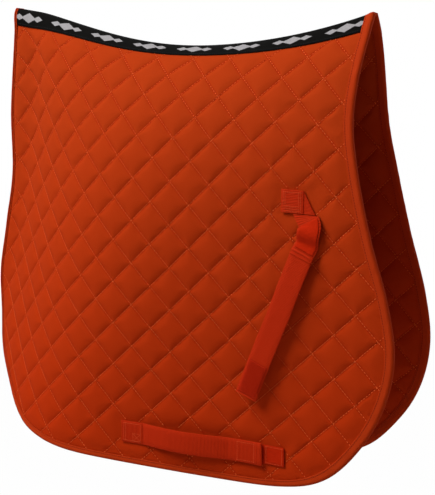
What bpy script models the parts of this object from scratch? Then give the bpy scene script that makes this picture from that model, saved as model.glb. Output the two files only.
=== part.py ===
"""Quilted jump saddle pad: two padded flaps on a spine seam, with girth and billet straps.

Metres, +Z up. +X points to the horse's head, the right flap hangs at -Y. The origin is on the
underside of the spine seam tape at the dip of the back, where the pad rests on the horse.

The pad is drawn flat, as a pattern, and then draped. A pattern point is (s, t): s runs along the
spine towards the head, t runs down the flap. A third number, n, is the height above the flap's
horse side, measured square to the cloth.
"""
import math

import bmesh
import bpy
import numpy as np
from mathutils import Vector
from mathutils.geometry import delaunay_2d_cdt, intersect_line_line_2d

# Driving dimensions of the pattern
FLAP_LENGTH = 0.587          # greatest length of a flap, laid flat
FLAP_DROP = 0.4933           # from the ridge to the hem, along the cloth
QUILT_ALONG = 0.048          # diagonal of a quilted diamond along the spine
QUILT_DOWN = 0.0472          # diagonal of a quilted diamond down the flap
BINDING_WIDTH = 0.009        # how far the edge binding reaches onto the cloth
TAPE_REACH = 0.020           # half the width of the spine tape, folded over the ridge
EDGE_STEP = 0.031            # spacing of the edge points along the outline
SPINE_STEP = 0.026           # spacing of the edge points along the spine

# Drawn outline of a flap, from the front of the spine round the bottom to the rear of the spine,
# which is stretched to the length and drop above
DRAWN_FRONT_END = 0.183
DRAWN_REAR_END = -0.303
DRAWN_OUTLINE = (
    (0.180, -0.180), (0.188, -0.125), (0.205, -0.055), (0.224, 0.008), (0.232, 0.062),
    (0.223, 0.112), (0.199, 0.160), (0.160, 0.203), (0.108, 0.222), (0.019, 0.229),
    (-0.100, 0.231), (-0.190, 0.230), (-0.247, 0.217), (-0.297, 0.182), (-0.337, 0.140),
    (-0.355, 0.068), (-0.3415, -0.008), (-0.3262, -0.078), (-0.3222, -0.160),
)

# Stack of the cloth, measured from the horse side at a seam
CLOTH = 0.0005               # cotton cover or lining
WADDING_AT_SEAM = 0.0014
GAP = 0.0003                 # running gap between touching pieces
PILLOW_OUT = 0.0030          # how far a diamond swells outwards
PILLOW_IN = 0.0020           # how far it swells towards the horse
PILLOW_RISE = 0.017          # distance from a flat edge at which a diamond is full
SEAM_STACK = 2 * CLOTH + WADDING_AT_SEAM + 2 * GAP
BINDING_THICKNESS = 0.0008
TAPE_THICKNESS = 0.0007
SEAM_TAPE_GAP = 0.0006       # clearance of the seam tape under the linings
SEAM_TAPE_SHARE = 0.4        # reach of the seam tape down each flap, as a share of TAPE_REACH

# Shape of the draped flap
RIDGE_HALF_GAP = 0.0015      # from the plane of symmetry to the horse side at the ridge
RIDGE_MID = 0.2623           # ridge above the pattern's row zero at RIDGE_AT
RIDGE_AT = -0.06
RIDGE_SPAN = 0.27
RIDGE_BEND = (0.0094, -0.0282, -0.0138)   # slope, dip and twist of the ridge cut
LEVEL_DEPTH = 0.252          # depth below the ridge at which the quilt rows hang level
REAR_RISE = -0.0484          # the rows climb towards the tail
ARCH_STEEPNESS = 0.93        # sideways slope of the cloth at the ridge
ARCH_FRONT_FALL = 0.46       # how much steeper the front of the ridge is
REAR_HALF_WIDTH = 0.0057     # half width of the pad at its rear edge
REAR_EDGE = -0.33
REAR_LEAN = 0.4722           # sideways slope of the flap behind its fold
FRONT_LEAN = -0.2506         # sideways slope in front of the fold
FOLD_ROUND = 0.0343          # how softly the fold turns
FOLD_AT = -0.1285            # place of the fold at row zero
FOLD_SLANT = -0.27           # the fold runs back as it comes down
FLARE = 0.1383               # outward spread of the flap, downwards
FLARE_CURVE = 0.1593
FRONT_CURVE = 0.3489         # the front of the flap turns forward again
LEAST_HALF_WIDTH = 0.0088
LEAST_ROUND = 0.0030
LEAST_FALL = 0.06            # least squared share of the cloth's length that goes downwards
NORMAL_REACH = 0.003         # distance over which the cloth's direction is measured
TABLE_STEP = (0.005, 0.004)  # spacing of the draped points along and down the flap
TABLE_MARGIN = (0.042, 0.1)  # how far they reach past the flap

# Webbing straps
WEB_WIDTH = 0.025
WEB = 0.0012                 # thickness of the webbing
PATCH_MARGIN = 0.002         # webbing that shows beside and beyond a patch
PATCH_WIDTH = WEB_WIDTH - 2 * PATCH_MARGIN
PATCH = 0.0010               # thickness of a hook or loop patch
SEWN_LIFT = 0.0006           # clearance of a sewn end over the cover
GIRTH_REAR = -0.085
GIRTH_BOX = 0.027            # length of the box-stitched end
GIRTH_TIP = 0.088            # free end of the girth strap
GIRTH_TAB_START = 0.052      # rear end of the loop patch that the strap closes on
GIRTH_TAB_END = 0.113
GIRTH_LEVEL = 0.004          # the strap runs level this far before the loop patch
GIRTH_ABOVE_HEM = 0.0365     # from the hem up to the strap's middle line at its sewn end
GIRTH_SLOPE = -0.025
GIRTH_LIFT = 0.0075          # slack height at the middle of the strap
GIRTH_HOOK = 0.030
BILLET_BOX = 0.024           # length of the box-stitched end
BILLET_BOX_AT = 0.122        # middle of the box-stitched end along the spine
BILLET_DRAWN = (             # middle line: s, and the height above the hem
    (0.1350, 0.3045), (0.1392, 0.2963), (0.1412, 0.2861), (0.1396, 0.2745), (0.1347, 0.2617),
    (0.1278, 0.2438), (0.1206, 0.2250), (0.1135, 0.2065), (0.1060, 0.1880), (0.0974, 0.1680),
    (0.0868, 0.1420), (0.0790, 0.1225), (0.0725, 0.1050),
)
BILLET_RISE = 3              # path points over which the strap rises off the cloth
BILLET_RIDE = 0.0105         # height of the hanging strap over the horse side
BILLET_LOOP = (1, 4)         # first and last path point under the loop patch
BILLET_HOOK = (10, 12)       # first and last path point under the hook patch
FLAT_MARGIN = 0.0025         # cloth pressed flat round a strap
FLAT_STEP = 0.026            # spacing of the points round a pressed place
POINT_ROOM = 0.006           # least distance of a quilt point from an edge

COTTON = (0.456, 0.042, 0.0065)
BINDING_COLOUR = (0.515, 0.045, 0.007)
WEBBING_COLOUR = (0.376, 0.013, 0.005)
TAPE_COLOUR = (0.005, 0.006, 0.007)
WADDING_COLOUR = (0.80, 0.78, 0.72)


# Values that follow from these
HEM = FLAP_DROP - RIDGE_MID
LENGTH_STRETCH = FLAP_LENGTH / (max(s for s, _ in DRAWN_OUTLINE) - min(s for s, _ in DRAWN_OUTLINE))
DROP_STRETCH = FLAP_DROP / (max(t for _, t in DRAWN_OUTLINE) + RIDGE_MID)
FRONT_END = DRAWN_FRONT_END * LENGTH_STRETCH
REAR_END = DRAWN_REAR_END * LENGTH_STRETCH
OUTLINE = [(s * LENGTH_STRETCH, (t + RIDGE_MID) * DROP_STRETCH - RIDGE_MID) for s, t in DRAWN_OUTLINE]
BILLET_PATH = [(s, HEM - height) for s, height in BILLET_DRAWN]


def ridge_row(s):
    """Row of the pattern on which the ridge lies, as a function of s."""
    u = (s - RIDGE_AT) / RIDGE_SPAN
    slope, dip, twist = RIDGE_BEND
    return -RIDGE_MID + slope * u + dip * u ** 2 + twist * u ** 3


def soft_step(x):
    """Zero for low x, x for high x, with a round corner between."""
    return np.logaddexp(0.0, x)


def half_width(s, t):
    """Distance of the hanging flap from the plane of symmetry, away from the ridge."""
    fold = FOLD_AT + FOLD_SLANT * t
    width = REAR_HALF_WIDTH + FRONT_LEAN * (s - REAR_EDGE)
    turned = soft_step((fold - REAR_EDGE) / FOLD_ROUND) - soft_step((fold - s) / FOLD_ROUND)
    width = width + (REAR_LEAN - FRONT_LEAN) * FOLD_ROUND * turned
    width = width + FLARE * t + FLARE_CURVE * t ** 2
    width = width + FRONT_CURVE * np.maximum(s - FOLD_AT, 0.0) ** 2
    width = LEAST_HALF_WIDTH + LEAST_ROUND * soft_step((width - LEAST_HALF_WIDTH) / LEAST_ROUND)
    return width - SEAM_STACK - RIDGE_HALF_GAP


class Drape:
    """Carries pattern points to their place on the hanging pad."""

    def __init__(self):
        step_s, step_d = TABLE_STEP
        rear = min(s for s, _ in OUTLINE) - TABLE_MARGIN[0]
        front = max(s for s, _ in OUTLINE) + TABLE_MARGIN[0]
        self.s = np.arange(math.floor(rear / step_s), math.ceil(front / step_s) + 1) * step_s
        self.depth = np.arange(math.ceil((FLAP_DROP + TABLE_MARGIN[1]) / step_d) + 1) * step_d
        s = self.s[:, None]
        row = ridge_row(s) + self.depth[None, :]
        wide = half_width(s, row)
        ahead = np.maximum((s - RIDGE_AT) / RIDGE_SPAN, 0.0)
        steep = ARCH_STEEPNESS - ARCH_FRONT_FALL * ahead ** 2
        out = RIDGE_HALF_GAP + wide * (1.0 - np.exp(-steep * self.depth[None, :] / wide))
        fall = np.sqrt(np.clip(1.0 - np.gradient(out, step_d, axis=1) ** 2, LEAST_FALL, 1.0))
        drop = np.zeros_like(out)
        drop[:, 1:] = np.cumsum((fall[:, 1:] + fall[:, :-1]) * 0.5 * step_d, axis=1)
        run = np.sqrt(np.clip(1.0 - np.gradient(out, step_s, axis=0) ** 2, LEAST_FALL, 1.0))
        along = np.zeros_like(out)
        along[1:] = np.cumsum((run[1:] + run[:-1]) * 0.5 * step_s, axis=0)
        along = along - self._at_zero(along)
        level = int(round(LEVEL_DEPTH / step_d))
        ridge = REAR_RISE * self.s - ridge_row(self.s) - self.depth[level] + drop[:, level]
        height = ridge[:, None] - drop
        self.table = np.stack([along, -out, height], axis=-1)
        self.table[:, :, 2] -= self._at_zero(height)[0] - SEAM_TAPE_GAP - TAPE_THICKNESS

    def _at_zero(self, values):
        """Row of a table at s = 0."""
        place = -self.s[0] / TABLE_STEP[0]
        low = int(place)
        part = place - low
        return values[low] * (1.0 - part) + values[low + 1] * part

    def sheet(self, s, t):
        """Point of the flap's horse side, on the right flap."""
        depth = max(t - float(ridge_row(s)), 0.0)
        i = (s - self.s[0]) / TABLE_STEP[0]
        j = depth / TABLE_STEP[1]
        i0 = min(max(int(i), 0), len(self.s) - 2)
        j0 = min(max(int(j), 0), len(self.depth) - 2)
        a, b = i - i0, j - j0
        low = self.table[i0, j0] * (1.0 - a) + self.table[i0 + 1, j0] * a
        high = self.table[i0, j0 + 1] * (1.0 - a) + self.table[i0 + 1, j0 + 1] * a
        return Vector(low * (1.0 - b) + high * b)

    def normal(self, s, t):
        """Outward direction of the cloth on the right flap."""
        top = max(t - NORMAL_REACH, float(ridge_row(s)))
        along = self.sheet(s + NORMAL_REACH, t) - self.sheet(s - NORMAL_REACH, t)
        down = self.sheet(s, top + 2 * NORMAL_REACH) - self.sheet(s, top)
        return down.cross(along).normalized()

    def point(self, s, t, n, side):
        """Place of a pattern point; side is -1 for the right flap and +1 for the left."""
        place = self.sheet(s, t) + self.normal(s, t) * n
        return Vector((place.x, -side * place.y, place.z))


DRAPE = Drape()


def smooth_curve(points, step):
    """Points about a step apart on a smooth curve through the given ones."""
    rim = [Vector(p) for p in points]
    rim = [rim[0] * 2 - rim[1]] + rim + [rim[-1] * 2 - rim[-2]]
    fine = []
    for k in range(1, len(rim) - 2):
        before, start, end, after = rim[k - 1:k + 3]
        for part in range(20):
            u = part / 20
            bend = (end - before) * u
            bend += (before * 2 - start * 5 + end * 4 - after) * u ** 2
            bend += (start * 3 - before - end * 3 + after) * u ** 3
            fine.append(start + bend * 0.5)
    fine.append(rim[-2])
    length = [0.0]
    for a, b in zip(fine, fine[1:]):
        length.append(length[-1] + (b - a).length)
    count = max(1, round(length[-1] / step))
    spots = np.linspace(0.0, length[-1], count + 1)
    xs = np.interp(spots, length, [p.x for p in fine])
    ys = np.interp(spots, length, [p.y for p in fine])
    return [Vector((x, y)) for x, y in zip(xs, ys)]


def edge_stations():
    """Pairs of an edge point and its partner at the binding's inner edge, front to rear."""
    front_low = Vector((FRONT_END, ridge_row(FRONT_END) + TAPE_REACH))
    rear_low = Vector((REAR_END, ridge_row(REAR_END) + TAPE_REACH))
    free = smooth_curve([front_low, *OUTLINE, rear_low], EDGE_STEP)
    pairs = [(Vector((FRONT_END, ridge_row(FRONT_END))),
              Vector((FRONT_END - BINDING_WIDTH, ridge_row(FRONT_END - BINDING_WIDTH))))]
    for k, here in enumerate(free):
        if k == 0:
            inner = Vector((FRONT_END - BINDING_WIDTH, ridge_row(FRONT_END - BINDING_WIDTH) + TAPE_REACH))
        elif k == len(free) - 1:
            inner = Vector((REAR_END + BINDING_WIDTH, ridge_row(REAR_END + BINDING_WIDTH) + TAPE_REACH))
        else:
            ahead = (free[k + 1] - free[k - 1]).normalized()
            inner = here + Vector((-ahead.y, ahead.x)) * BINDING_WIDTH
        pairs.append((here, inner))
    pairs.append((Vector((REAR_END, ridge_row(REAR_END))),
                  Vector((REAR_END + BINDING_WIDTH, ridge_row(REAR_END + BINDING_WIDTH)))))
    return pairs


def spine_stations():
    """Pairs of a ridge point and its partner at the tape's lower edge, rear to front."""
    first = REAR_END + BINDING_WIDTH
    last = FRONT_END - BINDING_WIDTH
    count = round((last - first) / SPINE_STEP)
    pairs = []
    for k in range(count + 1):
        s = first + (last - first) * k / count
        pairs.append((Vector((s, ridge_row(s))), Vector((s, ridge_row(s) + TAPE_REACH))))
    return pairs


EDGE = edge_stations()
SPINE = spine_stations()


def girth_row(s):
    """Row of the girth strap's middle line."""
    return HEM - GIRTH_ABOVE_HEM + GIRTH_SLOPE * (s - GIRTH_REAR)


def billet_box():
    """Middle line of the billet strap's box-stitched end, from the top down."""
    foot = BILLET_PATH[0][1] - GAP
    return [(BILLET_BOX_AT, foot - BILLET_BOX * share) for share in (1.0, 0.5, 0.0)]


def pressed_rings():
    """Closed rings of points round each place that a strap's stitching presses flat."""
    half = WEB_WIDTH / 2 + FLAT_MARGIN
    low, high = GIRTH_REAR - FLAT_MARGIN, GIRTH_TAB_END + FLAT_MARGIN
    top, _, foot = billet_box()
    far = BILLET_PATH[0][0] + half
    boxes = [
        [(low, girth_row(low) - half), (high, girth_row(high) - half),
         (high, girth_row(high) + half), (low, girth_row(low) + half)],
        [(top[0] - half, top[1] - FLAT_MARGIN), (far, top[1] - FLAT_MARGIN),
         (far, foot[1] + FLAT_MARGIN), (foot[0] - half, foot[1] + FLAT_MARGIN)],
    ]
    rings = []
    for corners in boxes:
        ring = []
        corners = [Vector(corner) for corner in corners]
        for a, b in zip(corners, corners[1:] + corners[:1]):
            count = max(1, round((b - a).length / FLAT_STEP))
            ring.extend(a.lerp(b, k / count) for k in range(count))
        rings.append(ring)
    return rings


def distance_to_edge(spot, ring):
    """Least distance from a spot to a closed ring of points."""
    least = math.inf
    for a, b in zip(ring, ring[1:] + ring[:1]):
        part = max(0.0, min(1.0, (spot - a).dot(b - a) / (b - a).length_squared))
        least = min(least, (spot - a - (b - a) * part).length)
    return least


def inside(spot, ring):
    """Whether a spot lies inside a closed ring of points."""
    odd = False
    for a, b in zip(ring, ring[1:] + ring[:1]):
        if (a.y > spot.y) != (b.y > spot.y):
            if spot.x < a.x + (b.x - a.x) * (spot.y - a.y) / (b.y - a.y):
                odd = not odd
    return odd


def crosses(start, end, points, edges):
    """Whether the line from start to end crosses any of the edges between points."""
    return any(intersect_line_line_2d(start, end, points[a], points[b]) for a, b in edges)


def quilt_pattern():
    """Flat pattern of one layer: its points, swell (0 to 1) and triangles."""
    ring = [pair[1] for pair in EDGE[1:-1]] + [pair[1] for pair in SPINE[1:-1]]
    outer = [pair[0] for pair in EDGE[1:-1]] + [EDGE[-1][0]] + [pair[0] for pair in SPINE] + [EDGE[0][0]]
    points = list(ring)
    pressed = pressed_rings()
    held = []
    for patch in pressed:
        base = len(points)
        held.extend((base + k, base + (k + 1) % len(patch)) for k in range(len(patch)))
        points.extend(patch)
    swell = [0.0] * len(points)
    index = {}
    columns = [p.x / (QUILT_ALONG / 2) for p in ring]
    rows = [p.y / (QUILT_DOWN / 2) for p in ring]
    for i in range(math.floor(min(columns)), math.ceil(max(columns)) + 1):
        for j in range(math.floor(min(rows)), math.ceil(max(rows)) + 1):
            spot = Vector((i * QUILT_ALONG / 2, j * QUILT_DOWN / 2))
            edge = min(distance_to_edge(spot, patch) for patch in [ring, *pressed])
            if inside(spot, ring) and edge > POINT_ROOM:
                flat = (i + j) % 2 == 1 or any(inside(spot, patch) for patch in pressed)
                index[i, j] = len(points)
                points.append(spot)
                swell.append(0.0 if flat else min(1.0, edge / PILLOW_RISE))
    seams = []
    for (i, j), here in index.items():
        if (i + j) % 2 == 1:
            for step in ((1, 1), (1, -1)):
                other = index.get((i + step[0], j + step[1]))
                if other is not None and not crosses(points[here], points[other], points, held):
                    seams.append((here, other))
    loop = list(range(len(ring)))
    found = delaunay_2d_cdt(points, seams + held, [loop], 1, 1e-6)
    triangles = [tuple(face) for face in found[2]]
    points = list(found[0])
    source = found[3]
    swell = [swell[origin[0]] if origin else 0.0 for origin in source]
    ring_at = {origin[0]: k for k, origin in enumerate(source) if origin and origin[0] < len(ring)}
    base = len(points)
    points.extend(outer)
    swell.extend([0.0] * len(outer))
    spine_out = [base + len(EDGE) - 1 + k for k in range(len(SPINE))]
    edge_in = [ring_at[k] for k in range(len(EDGE) - 2)]
    spine_in = [edge_in[-1]] + [ring_at[len(EDGE) - 2 + k] for k in range(len(SPINE) - 2)] + [edge_in[0]]
    edge_out = [base + len(outer) - 1] + [base + k for k in range(len(EDGE) - 1)]
    edge_in = [spine_out[-1]] + edge_in + [spine_out[0]]
    strips = [(edge_out, edge_in), (spine_out, spine_in)]
    for outside, within in strips:
        for k in range(len(outside) - 1):
            triangles.append((outside[k], outside[k + 1], within[k + 1]))
            triangles.append((outside[k], within[k + 1], within[k]))
    return points, swell, triangles


PATTERN = quilt_pattern()


def material(name, colour, roughness, sheen=0.0):
    """Principled material of a cloth."""
    made = bpy.data.materials.new(name)
    made.use_nodes = True
    shader = made.node_tree.nodes["Principled BSDF"]
    shader.inputs["Base Color"].default_value = (*colour, 1.0)
    shader.inputs["Roughness"].default_value = roughness
    shader.inputs["Metallic"].default_value = 0.0
    shader.inputs["Sheen Weight"].default_value = sheen
    made.diffuse_color = (*colour, 1.0)
    return made


def finish_mesh(name, bm, parts, look, pivot=None):
    """Turns a bmesh into a named object with outward faces, its origin on its joint if it moves."""
    bmesh.ops.recalc_face_normals(bm, faces=bm.faces[:])
    if pivot is not None:
        bmesh.ops.translate(bm, verts=bm.verts[:], vec=-pivot)
    mesh = bpy.data.meshes.new(name)
    bm.to_mesh(mesh)
    bm.free()
    mesh.materials.append(look)
    mesh.shade_smooth()
    mesh.set_sharp_from_angle(angle=math.radians(50))
    item = bpy.data.objects.new(name, mesh)
    if pivot is not None:
        item.location = pivot
    parts.objects.link(item)
    return item


def quilted_layer(name, side, lower, upper, parts, look):
    """One cloth layer of a flap; lower and upper give n from the swell of a pattern point."""
    points, swell, triangles = PATTERN
    bm = bmesh.new()
    low = [bm.verts.new(DRAPE.point(p.x, p.y, lower(w), side)) for p, w in zip(points, swell)]
    for corners in triangles:
        bm.faces.new([low[k] for k in corners])
    made = bmesh.ops.extrude_face_region(bm, geom=bm.faces[:], use_keep_orig=True)
    top = [v for v in made["geom"] if isinstance(v, bmesh.types.BMVert)]
    bm.verts.index_update()
    place = {tuple(round(c, 7) for c in v.co): k for k, v in enumerate(low)}
    for vert in top:
        k = place[tuple(round(c, 7) for c in vert.co)]
        vert.co = DRAPE.point(points[k].x, points[k].y, upper(swell[k]), side)
    return finish_mesh(name, bm, parts, look)


def loft(name, rings, parts, look, pivot=None, turned=()):
    """Closed body through a row of equal rings of points, capped at both ends.

    A ring goes along one side of the cloth and back along the other. turned lists the sides whose
    four-cornered faces are split along the other diagonal, parallel to the cloth they cover.
    """
    bm = bmesh.new()
    rows = [[bm.verts.new(p) for p in ring] for ring in rings]
    count = len(rows[0])
    for a, b in zip(rows, rows[1:]):
        for k in range(count):
            m = (k + 1) % count
            if k in turned:
                bm.faces.new((a[k], a[m], b[k]))
                bm.faces.new((a[m], b[m], b[k]))
            else:
                bm.faces.new((a[k], a[m], b[m]))
                bm.faces.new((a[k], b[m], b[k]))
    for cap in (rows[0], rows[-1]):
        for k in range(count // 2 - 1):
            bm.faces.new((cap[k], cap[k + 1], cap[-2 - k]))
            bm.faces.new((cap[k], cap[-2 - k], cap[-1 - k]))
    return finish_mesh(name, bm, parts, look, pivot)


def to_middle(place, side):
    """The point carried level to just beside the plane of symmetry."""
    return Vector((place.x, side * GAP / 2, place.z))


def edge_binding(name, side, parts, look):
    """Folded tape round the free edge of a flap."""
    over = SEAM_STACK + GAP
    outside = over + BINDING_THICKNESS
    nose = GAP + BINDING_THICKNESS
    profile = [
        (0.0, outside), (BINDING_WIDTH + nose, outside),
        (BINDING_WIDTH + nose, -GAP - BINDING_THICKNESS), (0.0, -GAP - BINDING_THICKNESS),
        (0.0, -GAP), (BINDING_WIDTH + GAP, -GAP), (BINDING_WIDTH + GAP, over), (0.0, over),
    ]
    rings = []
    for outer, inner in EDGE:
        away = (outer - inner) / BINDING_WIDTH
        spots = [inner + away * reach for reach, _ in profile]
        rings.append([DRAPE.point(p.x, p.y, n, side) for p, (_, n) in zip(spots, profile)])
    rings.insert(0, [to_middle(p, side) for p in rings[0]])
    rings.append([to_middle(p, side) for p in rings[-1]])
    return loft(name, rings, parts, look, turned=(0, 4))


def trimmed(rings):
    """The rings with both ends drawn in, clear of the edge binding."""
    trim = GAP + BINDING_THICKNESS
    front = [a.lerp(b, trim / SPINE_STEP) for a, b in zip(rings[0], rings[1])]
    back = [a.lerp(b, trim / SPINE_STEP) for a, b in zip(rings[-1], rings[-2])]
    return [front, *rings[1:-1], back]


def spine_tape(name, side, parts, look):
    """Half of the woven tape that is folded over the ridge."""
    low = SEAM_STACK + GAP
    high = low + TAPE_THICKNESS
    rings = []
    for ridge, below in SPINE:
        under, upper = (DRAPE.point(ridge.x, ridge.y, n, side) for n in (low, high))
        foot, foot_top = (DRAPE.point(below.x, below.y, n, side) for n in (low, high))
        rings.append([foot, under, to_middle(under, side), to_middle(upper, side), upper, foot_top])
    return loft(name, trimmed(rings), parts, look, turned=(0, 3))


def spine_seam_tape(parts, look):
    """Narrow tape under the ridge that joins the two flaps."""
    rings = []
    for ridge, below in SPINE:
        ring = []
        for n in (-SEAM_TAPE_GAP, -SEAM_TAPE_GAP - TAPE_THICKNESS):
            knee = DRAPE.point(ridge.x, ridge.y, n, -1)
            foot = knee.lerp(DRAPE.point(below.x, below.y, n, -1), SEAM_TAPE_SHARE)
            row = [foot, knee, Vector((knee.x, -knee.y, knee.z)), Vector((foot.x, -foot.y, foot.z))]
            ring.extend(row if n == -SEAM_TAPE_GAP else reversed(row))
        rings.append(ring)
    return loft("spine_seam_tape", trimmed(rings), parts, look, turned=(0, 4, 5))


def ribbon(name, path, width, thickness, side, parts, look, pivot=None, heading=None, span=None):
    """Flat strap along pattern points (s, t, n), n being its underside.

    heading is its direction at the start, and span the first and last point that it covers.
    """
    rings = []
    first, last = span or (0, len(path) - 1)
    for k in range(first, last + 1):
        s, t, n = path[k]
        before = path[max(k - 1, 0)]
        after = path[min(k + 1, len(path) - 1)]
        ahead = Vector((after[0] - before[0], after[1] - before[1])).normalized()
        if k == 0 and heading is not None:
            ahead = Vector(heading)
        across = Vector((-ahead.y, ahead.x)) * width / 2
        corners = [(-1, n), (1, n), (1, n + thickness), (-1, n + thickness)]
        rings.append([
            DRAPE.point(s + across.x * way, t + across.y * way, lift, side) for way, lift in corners
        ])
    return loft(name, rings, parts, look, pivot, turned=(2,))


def girth_points(start, end, count, lift):
    """Points of the girth strap's line, with n from the given function."""
    spots = np.linspace(start, end, count)
    return [(float(s), girth_row(s), lift(float(s))) for s in spots]


def girth_strap(word, side, parts, look, patch_look):
    """Sewn end, free strap and hook-and-loop closing of the strap that holds the girth."""
    sewn = SEAM_STACK + SEWN_LIFT
    closed = sewn + 2 * PATCH + 2 * GAP
    hinge_s = GIRTH_REAR + GIRTH_BOX

    def lift(s):
        part = max(0.0, min(1.0, (s - hinge_s) / (GIRTH_TAB_START - GIRTH_LEVEL - hinge_s)))
        return sewn + (closed - sewn) * part + GIRTH_LIFT * math.sin(math.pi * part)

    ribbon(f"{word}_girth_strap_sewn_end", girth_points(GIRTH_REAR, hinge_s - GAP, 3, lift),
           WEB_WIDTH, WEB, side, parts, look)
    pivot = DRAPE.point(hinge_s, girth_row(hinge_s), sewn + WEB, side)
    ribbon(f"{word}_girth_strap", girth_points(hinge_s, GIRTH_TIP, 13, lift),
           WEB_WIDTH, WEB, side, parts, look, pivot)
    ribbon(f"{word}_girth_hook_patch",
           girth_points(GIRTH_TIP - GIRTH_HOOK, GIRTH_TIP - PATCH_MARGIN, 4,
                        lambda s: closed - GAP - PATCH),
           PATCH_WIDTH, PATCH, side, parts, patch_look, pivot)
    ribbon(f"{word}_girth_loop_patch", girth_points(GIRTH_TAB_START, GIRTH_TAB_END, 5, lambda s: sewn),
           PATCH_WIDTH, PATCH, side, parts, patch_look)


def billet_strap(word, side, parts, look, patch_look):
    """Sewn end, hanging strap and its hook and loop patches."""
    sewn = SEAM_STACK + SEWN_LIFT
    ribbon(f"{word}_billet_strap_sewn_end", [(s, t, sewn) for s, t in billet_box()],
           WEB_WIDTH, WEB, side, parts, look)
    path = []
    for k, (s, t) in enumerate(BILLET_PATH):
        part = min(1.0, k / BILLET_RISE)
        path.append((s, t, sewn + (BILLET_RIDE - sewn) * part))
    pivot = DRAPE.point(*BILLET_PATH[0], sewn + WEB, side)
    ribbon(f"{word}_billet_strap", path, WEB_WIDTH, WEB, side, parts, look, pivot, (0.0, 1.0))
    on_top = [(s, t, n + WEB + GAP) for s, t, n in path]
    for kind, span in (("loop", BILLET_LOOP), ("hook", BILLET_HOOK)):
        ribbon(f"{word}_billet_{kind}_patch", on_top, PATCH_WIDTH, PATCH, side, parts, patch_look,
               pivot, span=span)


def flap(word, side, parts, looks):
    """All the pieces of one flap."""
    lining_top = CLOTH
    wadding_low = lining_top + GAP
    wadding_top = wadding_low + WADDING_AT_SEAM
    cover_low = wadding_top + GAP
    quilted_layer(f"{word}_lining", side, lambda w: -PILLOW_IN * w,
                  lambda w: lining_top - PILLOW_IN * w, parts, looks["lining"])
    quilted_layer(f"{word}_wadding", side, lambda w: wadding_low - PILLOW_IN * w,
                  lambda w: wadding_top + PILLOW_OUT * w, parts, looks["wadding"])
    quilted_layer(f"{word}_cover", side, lambda w: cover_low + PILLOW_OUT * w,
                  lambda w: SEAM_STACK + PILLOW_OUT * w, parts, looks["cotton"])
    edge_binding(f"{word}_edge_binding", side, parts, looks["binding"])
    spine_tape(f"{word}_spine_tape", side, parts, looks["tape"])
    girth_strap(word, side, parts, looks["webbing"], looks["patch"])
    billet_strap(word, side, parts, looks["webbing"], looks["patch"])


def main():
    """Builds the pad."""
    for item in list(bpy.data.objects):
        bpy.data.objects.remove(item)
    parts = bpy.data.collections.new("jump_saddle_pad")
    bpy.context.scene.collection.children.link(parts)
    looks = {
        "cotton": material("cotton_cover", COTTON, 0.85, 0.2),
        "lining": material("cotton_lining", COTTON, 0.88, 0.2),
        "wadding": material("polyester_wadding", WADDING_COLOUR, 0.95),
        "binding": material("cotton_binding", BINDING_COLOUR, 0.75, 0.1),
        "webbing": material("ribbed_webbing", WEBBING_COLOUR, 0.6),
        "patch": material("hook_and_loop", WEBBING_COLOUR, 0.9),
        "tape": material("woven_spine_tape", TAPE_COLOUR, 0.55),
    }
    flap("right", -1, parts, looks)
    flap("left", 1, parts, looks)
    spine_seam_tape(parts, looks["tape"])


main()
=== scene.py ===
"""Looks of a quilted jump saddle pad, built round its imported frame.

Metres, +Z up, +X to the horse's head. The pad is drawn as a flat pattern and then draped. A pattern
point is (s, t, n): s runs along the spine, t runs down the flap, and n is the height above the
flap's horse side. The right flap hangs at -Y.
"""
from __future__ import annotations

import logging
import math
from collections.abc import Callable, Sequence
from dataclasses import dataclass, field, replace
from enum import Enum
from functools import cache

import bpy
import numpy as np
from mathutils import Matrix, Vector
from mathutils.kdtree import KDTree

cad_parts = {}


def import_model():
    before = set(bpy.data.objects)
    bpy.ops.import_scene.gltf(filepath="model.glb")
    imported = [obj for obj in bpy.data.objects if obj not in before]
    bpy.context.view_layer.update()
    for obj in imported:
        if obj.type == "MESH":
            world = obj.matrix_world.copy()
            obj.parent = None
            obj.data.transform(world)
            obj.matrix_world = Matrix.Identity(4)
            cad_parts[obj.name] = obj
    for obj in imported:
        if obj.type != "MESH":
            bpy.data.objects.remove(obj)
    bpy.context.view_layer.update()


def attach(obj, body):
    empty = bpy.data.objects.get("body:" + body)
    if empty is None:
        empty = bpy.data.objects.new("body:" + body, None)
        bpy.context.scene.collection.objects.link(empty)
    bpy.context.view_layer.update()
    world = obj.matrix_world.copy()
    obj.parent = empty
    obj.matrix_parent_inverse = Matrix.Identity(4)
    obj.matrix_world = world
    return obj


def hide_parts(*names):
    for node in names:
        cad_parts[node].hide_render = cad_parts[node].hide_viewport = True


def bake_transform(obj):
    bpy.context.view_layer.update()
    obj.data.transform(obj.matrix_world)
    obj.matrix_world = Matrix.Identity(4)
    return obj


LOG = logging.getLogger("saddle_pad")
TINY = 1e-12
CURVE_PIECES = 20
STITCH_LINE_STEP = 0.001
Array = np.ndarray
Colour = tuple[float, float, float]


class Side(Enum):
    """The two flaps, with the sign of their y."""

    RIGHT = -1
    LEFT = 1

    @property
    def word(self) -> str:
        """Name of the side as the frame's nodes and bodies spell it."""
        return self.name.lower()


class SeamLine(Enum):
    """The two directions of the quilting seams in the pattern."""

    RISING = 0
    FALLING = 1


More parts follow.
